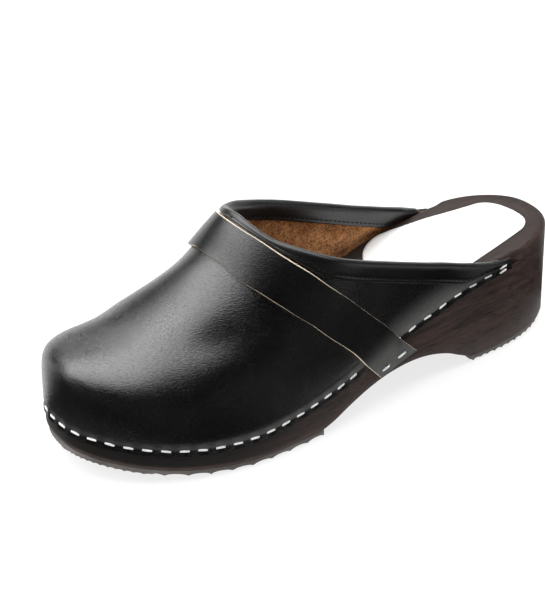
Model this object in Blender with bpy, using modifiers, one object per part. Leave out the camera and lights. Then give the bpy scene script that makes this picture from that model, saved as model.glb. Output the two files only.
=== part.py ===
"""Left clog: carved wooden sole, two rubber outsoles, leather upper, collar binding and instep strap.

Sizes are in millimetres and become metres when a vertex is made.
A station is the distance from the back of the heel along the sole; +X is the toe, +Y the outer side, +Z up.
"""
from collections import namedtuple
from math import acos, asin, cos, hypot, pi, radians, sin, sqrt

import bmesh
import bpy
import numpy as np

for old in list(bpy.data.objects):
    bpy.data.objects.remove(old)

# Sizes
MM = 0.001
LENGTH = 254.0
HALF_LENGTH = LENGTH / 2
SHIFT_X = -0.4
SHIFT_Y = 0.8
CLEARANCE = 0.3
RUBBER_THICK = 3.2
LEATHER_THICK = 2.0
STRAP_THICK = 1.8
BINDING_THICK = 1.2
REBATE = 1.5
PROUD = LEATHER_THICK + CLEARANCE - REBATE
FEATHER_LIFT = 1.0
SKIRT = 6.8
SKIRT_UNIT = 10.0
THROAT = 164.0
WING_END = 38.5
BINDING_END = 44.0
MERGE = 0.00001
SHARP = radians(35)

# Plan of the sole: half widths either side of the centre line
Plan = namedtuple("Plan", "station lateral medial")
PLAN = (
    Plan(0, 27.0, 26.0),
    Plan(35, 30.7, 28.5),
    Plan(75, 33.5, 28.5),
    Plan(110, 36.0, 29.0),
    Plan(145, 42.5, 35.5),
    Plan(178, 45.0, 44.0),
    Plan(205, 43.0, 47.0),
    Plan(230, 41.0, 47.0),
    Plan(254, 38.0, 45.0),
)
Cap = namedtuple("Cap", "length power")
HEEL_CAP = Cap(46.0, 2.4)
TOE_CAP = {1: Cap(69.0, 2.05), -1: Cap(60.0, 2.3)}
TIP = 0.001
OUTLINE_STEP = 0.003

# Side view of the sole: height of the rim and of the wood's underside
Rim = namedtuple("Rim", "station height dish")
RIM = (
    Rim(0, 48.8, 4.5),
    Rim(30, 48.3, 4.5),
    Rim(50, 46.0, 4.0),
    Rim(70, 43.0, 3.2),
    Rim(90, 37.5, 2.6),
    Rim(110, 32.0, 2.4),
    Rim(130, 27.5, 2.8),
    Rim(150, 23.5, 3.2),
    Rim(170, 20.0, 3.4),
    Rim(190, 18.0, 3.2),
    Rim(205, 18.0, 3.0),
    Rim(220, 19.5, 2.6),
    Rim(235, 22.0, 2.2),
    Rim(254, 26.5, 2.0),
)
Arch = namedtuple("Arch", "station height")
ARCH = (
    Arch(0, 3.2),
    Arch(56, 3.2),
    Arch(60, 3.7),
    Arch(67, 6.7),
    Arch(73, 9.8),
    Arch(80, 12.3),
    Arch(88, 14.0),
    Arch(97, 14.5),
    Arch(106, 13.9),
    Arch(116, 12.5),
    Arch(126, 10.5),
    Arch(136, 7.7),
    Arch(144, 4.8),
    Arch(150, 3.2),
    Arch(185, 3.2),
)
TOE_SPRING = 10.5
SPRING_START = 185.0

# The last above the rim: roof line, section shape and flare of the leather where it meets the rim
Last = namedtuple("Last", "station roof crown wall ridge_y flare")
LAST = (
    Last(20, 158.0, 2.2, 2.2, 0.0, 2.2),
    Last(60, 147.0, 2.2, 2.25, 0.0, 2.2),
    Last(90, 137.5, 2.2, 2.3, 0.0, 2.2),
    Last(115, 127.5, 2.15, 2.25, -0.5, 2.2),
    Last(135, 115.0, 2.1, 2.15, -1.4, 2.2),
    Last(150, 104.0, 2.05, 1.75, -2.3, 2.2),
    Last(160, 96.0, 2.0, 1.45, -2.8, 2.2),
    Last(168, 89.0, 2.0, 1.35, -3.0, 2.2),
    Last(178, 78.0, 2.0, 1.42, -3.0, 2.2),
    Last(190, 69.7, 2.0, 1.57, -2.8, 2.2),
    Last(205, 60.5, 2.1, 2.0, -2.5, 2.0),
    Last(220, 54.1, 2.2, 2.35, -2.1, 1.6),
    Last(236, 52.1, 2.4, 3.8, -1.2, -0.3),
    Last(254, 54.0, 2.6, 7.0, 0.0, 0.0),
)
FLARE_HEIGHT = 14.0
STATION_STEP = 0.4
ACROSS_STEP = 0.004
TOE_PULL = 18.0
PULL_START = 150.0

# Topline of the collar as a share of the full rise, from the throat (0) to the wing's end (1), below the rim there
Collar = namedtuple("Collar", "along lateral medial")
COLLAR = (
    Collar(0.0, 1.0, 1.0),
    Collar(0.1, 0.955, 0.955),
    Collar(0.2, 0.87, 0.88),
    Collar(0.33, 0.747, 0.765),
    Collar(0.45, 0.605, 0.628),
    Collar(0.6, 0.42, 0.457),
    Collar(0.75, 0.238, 0.273),
    Collar(0.82, 0.148, 0.176),
    Collar(0.88, 0.071, 0.097),
    Collar(0.93, 0.022, 0.038),
    Collar(0.965, -0.005, -0.005),
    Collar(1.0, -0.018, -0.033),
)

# Edges of the strap from the ridge (0) to the feather line (1), and its end on the wood
Strap = namedtuple("Strap", "across rear front")
STRAP = (
    Strap(-0.13, 165.5, 177.9),
    Strap(0.0, 166.8, 179.4),
    Strap(0.13, 165.5, 178.1),
    Strap(0.27, 161.2, 175.7),
    Strap(0.42, 154.8, 169.1),
    Strap(0.55, 148.1, 161.5),
    Strap(0.69, 140.1, 153.2),
    Strap(0.82, 130.0, 145.3),
    Strap(0.91, 120.4, 138.1),
    Strap(1.0, 107.7, 128.4),
)
STRAP_END = Strap(2.6, 94.8, 116.0)
BRIDGE_TOP = 0.8
BRIDGE_LOW = 1.45
BRIDGE_EASE = 0.3


def smooth(rows, column):
    """Function that runs smoothly through one column of a table."""
    keys = [float(row[0]) for row in rows]
    values = [float(getattr(row, column)) for row in rows]
    slopes = np.gradient(values, keys)

    def at(key):
        low = min(max(int(np.searchsorted(keys, key)) - 1, 0), len(keys) - 2)
        span = keys[low + 1] - keys[low]
        t = min(max((key - keys[low]) / span, 0.0), 1.0)
        start = (2 * t**3 - 3 * t**2 + 1) * values[low] + (t**3 - 2 * t**2 + t) * span * slopes[low]
        end = (3 * t**2 - 2 * t**3) * values[low + 1] + (t**3 - t**2) * span * slopes[low + 1]
        return float(start + end)

    return at


plan_width = {1: smooth(PLAN, "lateral"), -1: smooth(PLAN, "medial")}
rim_height = smooth(RIM, "height")
dish_depth = smooth(RIM, "dish")
arch_height = smooth(ARCH, "height")
roof_height = smooth(LAST, "roof")
crown_power = smooth(LAST, "crown")
wall_power = smooth(LAST, "wall")
ridge_side = smooth(LAST, "ridge_y")
flare_depth = smooth(LAST, "flare")
collar_share = {1: smooth(COLLAR, "lateral"), -1: smooth(COLLAR, "medial")}
strap_curve = {"rear": smooth(STRAP, "rear"), "front": smooth(STRAP, "front")}


def smoothstep(value):
    """Ease from 0 to 1."""
    t = min(max(value, 0.0), 1.0)
    return t * t * (3 - 2 * t)


def blend(start, end, share):
    """Point or number part of the way from start to end."""
    return start + (end - start) * share


def strap_station(across, edge):
    """Station of one edge of the strap, straight below the feather line."""
    if abs(across) <= 1:
        return strap_curve[edge](abs(across))
    share = (abs(across) - 1) / (STRAP_END.across - 1)
    return blend(getattr(STRAP[-1], edge), getattr(STRAP_END, edge), share)


# Outline of the sole
def turn_of(station):
    """Angle from 0 at the heel to pi at the toe that spaces stations evenly round both ends."""
    return acos(min(max(1 - station / HALF_LENGTH, -1.0), 1.0))


def station_of(turn):
    """Station at an angle made by turn_of."""
    return HALF_LENGTH * (1 - cos(turn))


def half_width(station, side):
    """Half width of the sole with its rounded heel and toe."""
    width = plan_width[side](station)
    toe = TOE_CAP[side]
    if station < HEEL_CAP.length:
        reach = (HEEL_CAP.length - station) / HEEL_CAP.length
        width *= max(1 - reach**HEEL_CAP.power, 0.0) ** (1 / HEEL_CAP.power)
    if station > LENGTH - toe.length:
        reach = min((station - LENGTH + toe.length) / toe.length, 1.0)
        width *= max(1 - reach**toe.power, 0.0) ** (1 / toe.power)
    return width


def outline(station, side, inset=0.0):
    """Plan point on the sole's edge, moved inward by inset."""
    turn = turn_of(station)
    step = OUTLINE_STEP
    before, after = station_of(max(turn - step, 0.0)), station_of(min(turn + step, pi))
    along = after - before
    across = half_width(after, side) - half_width(before, side)
    normal = np.array([-across, side * along]) / hypot(along, across)
    if station < TIP:
        normal = np.array([-1.0, 0.0])
    if station > LENGTH - TIP:
        normal = np.array([1.0, 0.0])
    return np.array([station - HALF_LENGTH, side * half_width(station, side)]) - normal * inset


def underside(station):
    """Height of the wood's underside."""
    if station < SPRING_START:
        return max(arch_height(station), RUBBER_THICK)
    return RUBBER_THICK + TOE_SPRING * ((station - SPRING_START) / (LENGTH - SPRING_START)) ** 2


# Outer face of the upper
def shell(station, across):
    """Point on the upper: across is 1 on the outer feather line, 0 on the ridge, -1 on the inner one."""
    side = 1 if across >= 0 else -1
    rise = 1 - abs(across)
    foot = outline(station, side, -PROUD)
    base = rim_height(station) + FEATHER_LIFT
    if rise < 0:
        return np.array([foot[0], foot[1], base + rise * SKIRT_UNIT])
    angle = rise * pi / 2
    inward = 1 - max(cos(angle), 0.0) ** (2 / crown_power(station))
    upward = sin(angle) ** (2 / wall_power(station))
    pull = TOE_PULL * max((station - PULL_START) / (LENGTH - PULL_START), 0.0) ** 2
    ridge = np.array([station - pull - HALF_LENGTH, ridge_side(station - pull)])
    reach = ridge - foot
    spot = foot + reach * inward
    height = (roof_height(spot[0] + HALF_LENGTH) - base) * upward
    lean = flare_depth(station) * smoothstep(sqrt(max(height, 0.0) / FLARE_HEIGHT)) * (1 - inward)
    spot = spot + reach / hypot(reach[0], reach[1]) * lean
    return np.array([spot[0], spot[1], base + height])


def shell_slopes(station, across):
    """Directions along and across the upper at a point."""
    high = min(station + STATION_STEP, LENGTH)
    low = station - STATION_STEP
    along = (shell(high, across) - shell(low, across)) / (high - low)
    over = (shell(station, across + ACROSS_STEP) - shell(station, across - ACROSS_STEP)) / (2 * ACROSS_STEP)
    return along, over


def shell_normal(station, across):
    """Outward direction of the upper at a point."""
    along, over = shell_slopes(station, across)
    normal = np.cross(over, along)
    return -normal / np.linalg.norm(normal)


def collar_rise(station, side):
    """Rise of the topline, 1 from the throat forward."""
    if station >= THROAT:
        return 1.0
    share = collar_share[side](sqrt((THROAT - station) / (THROAT - WING_END)))
    if share < 0:
        return share * (roof_height(station) - rim_height(station) - FEATHER_LIFT) / SKIRT_UNIT
    return asin(min(share, 1.0) ** (wall_power(station) / 2)) * 2 / pi


# Mesh helpers
def metres(point):
    """Vertex in metres, with the part centred on its own box."""
    return ((point[0] + SHIFT_X) * MM, (point[1] + SHIFT_Y) * MM, point[2] * MM)


def sheet(mesh, columns, rows, place):
    """Grid whose vertex in column i and row j goes to place(i, j)."""
    made = bmesh.ops.create_grid(mesh, x_segments=columns - 1, y_segments=rows - 1, size=1.0)
    for vert in made["verts"]:
        i = round((vert.co.x + 1) / 2 * (columns - 1))
        j = round((vert.co.y + 1) / 2 * (rows - 1))
        vert.co = metres(place(i, j))


def loft(mesh, sections):
    """Skin through closed sections, with both ends filled."""
    rings = [[mesh.verts.new(metres(point)) for point in section] for section in sections]
    count = len(rings[0])
    for ring, following in zip(rings, rings[1:]):
        for k in range(count):
            j = (k + 1) % count
            mesh.faces.new((ring[k], ring[j], following[j], following[k]))
    mesh.faces.new(reversed(rings[0]))
    mesh.faces.new(rings[-1])


parts = bpy.data.collections.new("clog")
bpy.context.scene.collection.children.link(parts)


def finish(mesh, name, colour, roughness):
    """Object with its own material from a finished mesh."""
    bmesh.ops.remove_doubles(mesh, verts=mesh.verts, dist=MERGE)
    bmesh.ops.recalc_face_normals(mesh, faces=mesh.faces)
    data = bpy.data.meshes.new(name)
    mesh.to_mesh(data)
    mesh.free()
    data.shade_smooth()
    data.set_sharp_from_angle(angle=SHARP)
    piece = bpy.data.objects.new(name, data)
    parts.objects.link(piece)
    material = bpy.data.materials.new(name)
    material.use_nodes = True
    shader = material.node_tree.nodes["Principled BSDF"]
    shader.inputs["Base Color"].default_value = (*colour, 1.0)
    shader.inputs["Roughness"].default_value = roughness
    data.materials.append(material)
    return piece


def thicken(piece, thickness, offset):
    """Give a sheet its thickness, to the inside for offset -1 and the outside for offset 1."""
    wall = piece.modifiers.new("wall", "SOLIDIFY")
    wall.thickness = thickness * MM
    wall.offset = offset
    wall.use_even_offset = True
    wall.use_quality_normals = True


# Stations shared by the wood and the leather, close together at the throat
REAR_COLUMNS = 22
FRONT_COLUMNS = 22
rear_stations = [THROAT - (THROAT - WING_END) * (1 - k / REAR_COLUMNS) ** 2 for k in range(REAR_COLUMNS)]
front_turns = np.linspace(turn_of(THROAT), pi, FRONT_COLUMNS)
upper_stations = rear_stations + [station_of(turn) for turn in front_turns]
HEEL_COLUMNS = 9
REBATE_START = WING_END - 8.0
REBATE_FULL = WING_END - 2.0
heel_turns = np.linspace(0.0, turn_of(WING_END - 3.0), HEEL_COLUMNS)
heel_stations = [station_of(turn) for turn in heel_turns]
breast_stations = [row.station for row in ARCH if 56 < row.station < 82]
wood_stations = sorted(heel_stations + upper_stations + breast_stations)

# Wooden sole
EDGE_BEVEL = 1.0
LEDGE_SLOPE = 0.25
RIM_ROUND = 2.4
ROUND_MIDDLE = 0.3
RIM_WIDTH = 9.0
UNDER_SHARE = 0.55
RIM_DIP = 0.08
DISH_SHARE = 0.45
DISH_DIP = 0.75
SPINE_HEEL = 22.0
SPINE_TOE = 34.0
SPINE_FROM = 60.0
SPINE_TO = 190.0


def spine(station):
    """Centre line that stops short of both rounded ends."""
    if station < SPINE_FROM:
        station = blend(SPINE_HEEL, SPINE_FROM, station / SPINE_FROM)
    elif station > SPINE_TO:
        station = blend(SPINE_TO, LENGTH - SPINE_TOE, (station - SPINE_TO) / (LENGTH - SPINE_TO))
    return np.array([station - HALF_LENGTH, (half_width(station, 1) - half_width(station, -1)) / 2])


def wood_section(station, side):
    """Half section of the wood from the middle of the underside, up the edge, to the middle of the footbed."""
    rebate = REBATE * smoothstep((station - REBATE_START) / (REBATE_FULL - REBATE_START))
    rim = rim_height(station)
    ledge = rim + FEATHER_LIFT - SKIRT - CLEARANCE
    middle = spine(station)
    edge = outline(station, side)
    wall = outline(station, side, rebate)
    bevel = outline(station, side, EDGE_BEVEL)
    corner = outline(station, side, rebate + RIM_ROUND * ROUND_MIDDLE)
    lip = outline(station, side, rebate + RIM_ROUND)
    shelf = outline(station, side, RIM_WIDTH)

    def low(spot):
        return np.array([spot[0], spot[1], underside(spot[0] + HALF_LENGTH)])

    def bed(spot, share):
        where = spot[0] + HALF_LENGTH
        return np.array([spot[0], spot[1], rim_height(where) - dish_depth(where) * share])

    return [
        low(middle),
        low(blend(middle, bevel, UNDER_SHARE)),
        low(bevel),
        np.array([edge[0], edge[1], underside(station) + EDGE_BEVEL]),
        np.array([edge[0], edge[1], ledge]),
        np.array([wall[0], wall[1], ledge + LEDGE_SLOPE]),
        np.array([wall[0], wall[1], rim - RIM_ROUND]),
        np.array([corner[0], corner[1], rim - RIM_ROUND * ROUND_MIDDLE]),
        np.array([lip[0], lip[1], rim]),
        bed(shelf, RIM_DIP),
        bed(blend(shelf, middle, DISH_SHARE), DISH_DIP),
        bed(middle, 1.0),
    ]


mesh = bmesh.new()
for side in (1, -1):
    sections = [wood_section(station, side) for station in wood_stations]
    sheet(mesh, len(sections), len(sections[0]), lambda i, j: sections[i][j])
finish(mesh, "wooden_sole", (0.055, 0.032, 0.024), 0.5)

# Rubber outsoles
Tread = namedtuple("Tread", "start end pitch land ramp depth")
RUBBER_INSET = 0.8
FORE_TREAD = Tread(149.0, LENGTH - RUBBER_INSET, 9.5, 6.0, 0.9, 1.2)
HEEL_TREAD = Tread(RUBBER_INSET, 60.0, 4.4, 2.5, 0.6, 1.2)
RUBBER_BEVEL = 0.6
TIP_STEPS = (0.03, 0.5, 1.6, 3.6)
TIP_MARGIN = 0.3
TIP_WIDTH = 20.0
BEVEL_SHARE = 0.1


def tread_stations(tread, tip_low, tip_high):
    """Stations of the ribs' corners, with extra ones in a rounded end."""
    stations = {tread.start, tread.end}
    first = tread.start
    while first + tread.pitch < tread.end:
        groove = first + tread.land
        stations.update((groove, groove + tread.ramp, first + tread.pitch - tread.ramp, first + tread.pitch))
        first += tread.pitch
    if tip_low:
        stations = {s for s in stations if s > tread.start + TIP_STEPS[-1] + TIP_MARGIN}
        stations.update(tread.start + step for step in TIP_STEPS)
    if tip_high:
        stations = {s for s in stations if s < tread.end - TIP_STEPS[-1] - TIP_MARGIN}
        stations.update(tread.end - step for step in TIP_STEPS)
    return sorted(stations)


def groove_depth(tread, station):
    """Depth of the groove between two ribs."""
    place = (station - tread.start) % tread.pitch
    reach = min(place - tread.land, tread.pitch - place)
    whole_rib = station - place + tread.pitch <= tread.end
    return tread.depth * min(max(reach / tread.ramp, 0.0), 1.0) if whole_rib else 0.0


def rubber_section(tread, station):
    """Full section across one outsole, from the outer top corner round to the outer lower one."""
    span = LENGTH - 2 * RUBBER_INSET
    source = min(max((station - RUBBER_INSET) * LENGTH / span, 0.0), LENGTH)
    outer = half_width(source, 1)
    inner = -half_width(source, -1)
    outer -= RUBBER_INSET * min(outer / TIP_WIDTH, 1.0)
    inner += RUBBER_INSET * min(-inner / TIP_WIDTH, 1.0)
    top = underside(station) - CLEARANCE
    low = groove_depth(tread, station)
    if station > SPRING_START:
        low += underside(station) - RUBBER_THICK
    bevel = min(RUBBER_BEVEL, (outer - inner) * BEVEL_SHARE)
    middle = (outer + inner) / 2
    x = station - HALF_LENGTH
    return [
        np.array([x, outer, top]),
        np.array([x, outer, low + RUBBER_BEVEL]),
        np.array([x, outer - bevel, low]),
        np.array([x, middle, low]),
        np.array([x, inner + bevel, low]),
        np.array([x, inner, low + RUBBER_BEVEL]),
        np.array([x, inner, top]),
        np.array([x, middle, top]),
    ]


for name, tread, tip_low, tip_high in (
    ("outsole_forefoot", FORE_TREAD, False, True),
    ("outsole_heel", HEEL_TREAD, True, False),
):
    mesh = bmesh.new()
    loft(mesh, [rubber_section(tread, station) for station in tread_stations(tread, tip_low, tip_high)])
    finish(mesh, name, (0.075, 0.068, 0.062), 0.7)

# Leather upper, open at the collar and underneath
# Share of the skirt and then of the rise for each row
SKIRT_LOW = 1 + SKIRT / SKIRT_UNIT
SKIRT_SHARES = (0.0, 0.56, 1.0)
UPPER_RISES = (0.02, 0.06, 0.12, 0.2, 0.3, 0.41, 0.53, 0.65, 0.76, 0.86, 0.94, 1.0)
WING_EDGE = 0.08


def upper_across(station, side, row):
    """Across value of a row of the upper; at the wing's end the skirt's top row sinks with the topline."""
    top = 1 - collar_rise(station, side)
    feather = max(1.0, top + WING_EDGE)
    if row < len(SKIRT_SHARES):
        return side * blend(SKIRT_LOW, feather, SKIRT_SHARES[row])
    return side * blend(feather, top, UPPER_RISES[row - len(SKIRT_SHARES)])


mesh = bmesh.new()
rows = len(SKIRT_SHARES) + len(UPPER_RISES)
for side in (1, -1):
    sheet(mesh, len(upper_stations), rows,
          lambda i, j: shell(upper_stations[i], upper_across(upper_stations[i], side, j)))
upper = finish(mesh, "upper", (0.012, 0.012, 0.013), 0.38)
thicken(upper, LEATHER_THICK, -1)

# Collar binding folded over the topline
OUTER_LEAF = 7.6
INNER_LEAF = 7.6
STRAP_ROOM = 0.6
STAPLE_ROOM = 2.8
RIM_ROOM = 0.4
LEAF_TIP = 0.8
LEAF_MIDDLE = 0.4
LEAF_LOWER = 0.75
FOLD_TOP = 1.7
FOLD_HALF = 1.1
FOLD_DROP = 0.25
SHOULDER = 0.3
BINDING_GAP = CLEARANCE + 0.2
WALK_STEPS = 4
EDGE_POINTS = 81


def walk(station, across, direction, distance):
    """Station and across value reached by going a distance over the upper in a direction."""
    for _ in range(WALK_STEPS):
        along, over = shell_slopes(station, across)
        jacobian = np.stack([along, over], axis=1)
        step = np.linalg.lstsq(jacobian, direction * (distance / WALK_STEPS), rcond=None)[0]
        station = station + step[0]
        across = across + step[1]
    return station, across


topline = [(s, 1 - collar_rise(s, 1)) for s in rear_stations if s > BINDING_END]
topline.append((THROAT, 0.0))
topline += [(s, collar_rise(s, -1) - 1) for s in reversed(rear_stations) if s > BINDING_END]


strap_edge = [shell(strap_station(across, "rear"), across) for across in np.linspace(-1.0, 1.0, EDGE_POINTS)]


def binding_section(index):
    """Closed U section of the binding at one point of the topline."""
    station, across = topline[index]
    before = shell(*topline[max(index - 1, 0)])
    after = shell(*topline[min(index + 1, len(topline) - 1)])
    along = (after - before) / np.linalg.norm(after - before)
    edge = shell(station, across)
    normal = shell_normal(station, across)
    down = np.cross(normal, along)
    down = down / np.linalg.norm(down)
    height = edge[2] - rim_height(station) - FEATHER_LIFT
    room = min(np.linalg.norm(edge - spot) for spot in strap_edge) - STRAP_ROOM
    outer = min(OUTER_LEAF, room, height + STAPLE_ROOM)
    inner = min(INNER_LEAF, height + RIM_ROOM)

    def on_shell(distance, offset):
        spot = walk(station, across, down, distance)
        return shell(*spot) + shell_normal(*spot) * offset

    lining = -LEATHER_THICK - BINDING_GAP
    face = BINDING_GAP
    top = edge - down * CLEARANCE
    crest = edge - down * FOLD_TOP - normal * (LEATHER_THICK / 2)
    return [
        on_shell(outer, face),
        on_shell(outer, face + LEAF_TIP),
        on_shell(outer * LEAF_LOWER, face + BINDING_THICK),
        on_shell(outer * LEAF_MIDDLE, face + BINDING_THICK),
        edge + normal * (face + BINDING_THICK) - down * SHOULDER,
        crest + normal * FOLD_HALF + down * FOLD_DROP,
        crest - normal * FOLD_HALF + down * FOLD_DROP,
        edge + normal * (lining - BINDING_THICK) - down * SHOULDER,
        on_shell(inner * LEAF_MIDDLE, lining - BINDING_THICK),
        on_shell(inner, lining - LEAF_TIP),
        on_shell(inner, lining),
        on_shell(inner * LEAF_MIDDLE, lining),
        top + normal * lining,
        top + normal * face,
        on_shell(outer * LEAF_MIDDLE, face),
        on_shell(outer * LEAF_LOWER, face),
    ]


mesh = bmesh.new()
loft(mesh, [binding_section(index) for index in range(len(topline))])
finish(mesh, "collar_binding", (0.014, 0.014, 0.015), 0.42)

# Instep strap, laid over the upper and down onto the wood
STRAP_ROWS = (2.6, 2.3, 2.0, 1.68, 1.35, 1.0, 0.98, 0.95, 0.9, 0.84, 0.76, 0.68, 0.59, 0.5, 0.42, 0.34, 0.26,
              0.18, 0.09)
strap_across = list(STRAP_ROWS) + [0.0] + [-across for across in reversed(STRAP_ROWS)]
STRAP_COLUMNS = 5
STRAP_GAP = CLEARANCE + 0.05


def under_strap(across, share):
    """Point of the upper and its normal below the strap, from the strap's rear edge (0) to its front edge (1)."""
    station = blend(strap_station(across, "rear"), strap_station(across, "front"), share)
    return shell(station, across), shell_normal(station, across)


def strap_bridge(across, share):
    """Height of the taut strap over the hollow above the feather line."""
    if not BRIDGE_TOP < abs(across) < BRIDGE_LOW:
        return 0.0
    side = 1 if across > 0 else -1
    spot, normal = under_strap(across, share)
    top, _ = under_strap(side * BRIDGE_TOP, share)
    low, _ = under_strap(side * BRIDGE_LOW, share)
    fall = (top[2] - spot[2]) / (top[2] - low[2])
    hollow = np.dot(blend(top, low, fall) - spot, normal)
    return (hollow + hypot(hollow, BRIDGE_EASE * sin(pi * fall))) / 2


def strap_point(column, row):
    """Inner face of the strap, which settles on the wood below the leather's lower edge."""
    across = strap_across[row]
    share = column / (STRAP_COLUMNS - 1)
    spot, normal = under_strap(across, share)
    settle = PROUD * smoothstep((abs(across) - SKIRT_LOW) / (STRAP_END.across - SKIRT_LOW))
    return spot + normal * (STRAP_GAP + strap_bridge(across, share) - settle)


mesh = bmesh.new()
sheet(mesh, STRAP_COLUMNS, len(strap_across), strap_point)
strap = finish(mesh, "instep_strap", (0.013, 0.013, 0.014), 0.4)
thicken(strap, STRAP_THICK, 1)
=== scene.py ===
# %% [markdown]
# # A left clog: black leather on a wooden sole
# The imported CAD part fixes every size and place. This lesson loads it as a frame, builds a finer version of
# each piece from the same curves, and gives each piece the finish of its real material.
# Shapes are worked out in millimetres, and become metres when a vertex is placed.

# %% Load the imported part
from collections import namedtuple
from math import pi, radians
from random import Random

import bmesh
import bpy
import numpy as np
from mathutils import Matrix, Vector
from mathutils.bvhtree import BVHTree


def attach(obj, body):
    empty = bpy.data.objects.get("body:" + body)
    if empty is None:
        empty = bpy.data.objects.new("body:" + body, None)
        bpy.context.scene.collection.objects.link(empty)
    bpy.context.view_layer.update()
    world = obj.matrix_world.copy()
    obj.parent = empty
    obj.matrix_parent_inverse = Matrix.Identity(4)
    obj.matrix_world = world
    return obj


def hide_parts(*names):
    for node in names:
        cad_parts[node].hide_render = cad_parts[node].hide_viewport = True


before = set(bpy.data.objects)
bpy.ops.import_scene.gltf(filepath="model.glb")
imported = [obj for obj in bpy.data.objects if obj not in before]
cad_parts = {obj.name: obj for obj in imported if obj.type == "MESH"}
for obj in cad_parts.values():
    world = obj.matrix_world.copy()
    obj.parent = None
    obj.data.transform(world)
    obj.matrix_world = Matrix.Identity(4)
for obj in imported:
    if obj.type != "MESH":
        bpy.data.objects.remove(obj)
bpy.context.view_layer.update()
print("CAD nodes:", sorted(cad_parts))

# %% [markdown]
# ## Camera
# The camera comes first, so that every later choice can be judged in the picture. A long lens from about
# a metre away keeps the outlines nearly parallel, as in a catalogue picture, and no shift is needed.

# %% Camera
CAMERA_PLACE = Vector((0.6092, 0.8339, 0.6422))
CAMERA_AIM = Vector((0.00984, -0.01179, 0.03745))
LENS = 164.0
SENSOR = 36.0
camera_data = bpy.data.cameras.new("camera")
camera_data.lens = LENS
camera_data.sensor_width = SENSOR
camera = bpy.data.objects.new("camera", camera_data)
camera.location = CAMERA_PLACE
camera.rotation_euler = (CAMERA_AIM - CAMERA_PLACE).to_track_quat("-Z", "Y").to_euler()
bpy.context.scene.collection.objects.link(camera)
bpy.context.scene.camera = camera
print("camera distance in metres:", round((CAMERA_AIM - CAMERA_PLACE).length, 3))

# %% [markdown]
# ## The curves of the last
# A shoemaker shapes the sole and the upper on a last, and records it as widths and heights along its
# length. The same tables drive the CAD part. A station is the distance from the back of the heel; +X is
# the toe, +Y the outer side and +Z up.

# %% Plan and side view of the sole
MM = 0.001
LENGTH = 254.0
HALF_LENGTH = LENGTH / 2
BALL = 178.0
PART_SHIFT = np.array([-0.4, 0.8, 0.0])
# Station, half width to the outer side, half width to the inner side
PLAN = (
    (0, 27.0, 26.0), (35, 30.7, 28.5), (75, 33.5, 28.5), (110, 36.0, 29.0), (145, 42.5, 35.5),
    (178, 45.0, 44.0), (205, 43.0, 47.0), (230, 41.0, 47.0), (254, 38.0, 45.0),
)
Cap = namedtuple("Cap", "length power")
HEEL_CAP = Cap(46.0, 2.4)
TOE_OUTER = Cap(69.0, 2.05)
TOE_INNER = Cap(60.0, 2.3)
# Station, height of the rim, depth of the footbed's dish
RIM = (
    (0, 48.8, 4.5), (30, 48.3, 4.5), (50, 46.0, 4.0), (70, 43.0, 3.2), (90, 37.5, 2.6),
    (110, 32.0, 2.4), (130, 27.5, 2.8), (150, 23.5, 3.2), (170, 20.0, 3.4), (190, 18.0, 3.2),
    (205, 18.0, 3.0), (220, 19.5, 2.6), (235, 22.0, 2.2), (254, 26.5, 2.0),
)
# Station, height of the wood's underside
ARCH = (
    (0, 3.2), (56, 3.2), (60, 3.7), (67, 6.7), (73, 9.8), (80, 12.3), (88, 14.0), (97, 14.5),
    (106, 13.9), (116, 12.5), (126, 10.5), (136, 7.7), (144, 4.8), (150, 3.2), (185, 3.2),
)
RUBBER_THICK = 3.2
TOE_SPRING = 10.5
SPRING_START = 185.0
print("sole stations:", len(PLAN), "widths,", len(RIM), "heights,", len(ARCH), "arch points")

# %% Roof of the last, topline and strap
# Station, height of the roof, powers of crown and wall, side of the ridge, depth of the flare
LAST = (
    (20, 158.0, 2.2, 2.2, 0.0, 2.2), (60, 147.0, 2.2, 2.25, 0.0, 2.2), (90, 137.5, 2.2, 2.3, 0.0, 2.2),
    (115, 127.5, 2.15, 2.25, -0.5, 2.2), (135, 115.0, 2.1, 2.15, -1.4, 2.2),
    (150, 104.0, 2.05, 1.75, -2.3, 2.2), (160, 96.0, 2.0, 1.45, -2.8, 2.2),
    (168, 89.0, 2.0, 1.35, -3.0, 2.2), (178, 78.0, 2.0, 1.42, -3.0, 2.2),
    (190, 69.7, 2.0, 1.57, -2.8, 2.2), (205, 60.5, 2.1, 2.0, -2.5, 2.0),
    (220, 54.1, 2.2, 2.35, -2.1, 1.6), (236, 52.1, 2.4, 3.8, -1.2, -0.3),
    (254, 54.0, 2.6, 7.0, 0.0, 0.0),
)
# Share of the way from the throat to the wing's end, outer rise, inner rise
COLLAR = (
    (0.0, 1.0, 1.0), (0.1, 0.955, 0.955), (0.2, 0.87, 0.88), (0.33, 0.747, 0.765), (0.45, 0.605, 0.628),
    (0.6, 0.42, 0.457), (0.75, 0.238, 0.273), (0.82, 0.148, 0.176), (0.88, 0.071, 0.097),
    (0.93, 0.022, 0.038), (0.965, -0.005, -0.005), (1.0, -0.018, -0.033),
)
Strap = namedtuple("Strap", "across rear front")
STRAP = (
    Strap(-0.13, 165.5, 177.9), Strap(0.0, 166.8, 179.4), Strap(0.13, 165.5, 178.1),
    Strap(0.27, 161.2, 175.7), Strap(0.42, 154.8, 169.1), Strap(0.55, 148.1, 161.5),
    Strap(0.69, 140.1, 153.2), Strap(0.82, 130.0, 145.3), Strap(0.91, 120.4, 138.1),
    Strap(1.0, 107.7, 128.4),
)
STRAP_END = Strap(2.6, 94.8, 116.0)
THROAT = 164.0
WING_END = 38.5
print("upper tables:", len(LAST), "sections,", len(COLLAR), "topline points,", len(STRAP), "strap points")


# %% [markdown]
# ## Smooth curves and the surface of the upper
# A table is only a few points, so a cubic curve runs through each column. The functions take whole arrays,
# because the fine meshes have tens of thousands of vertices.

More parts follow.
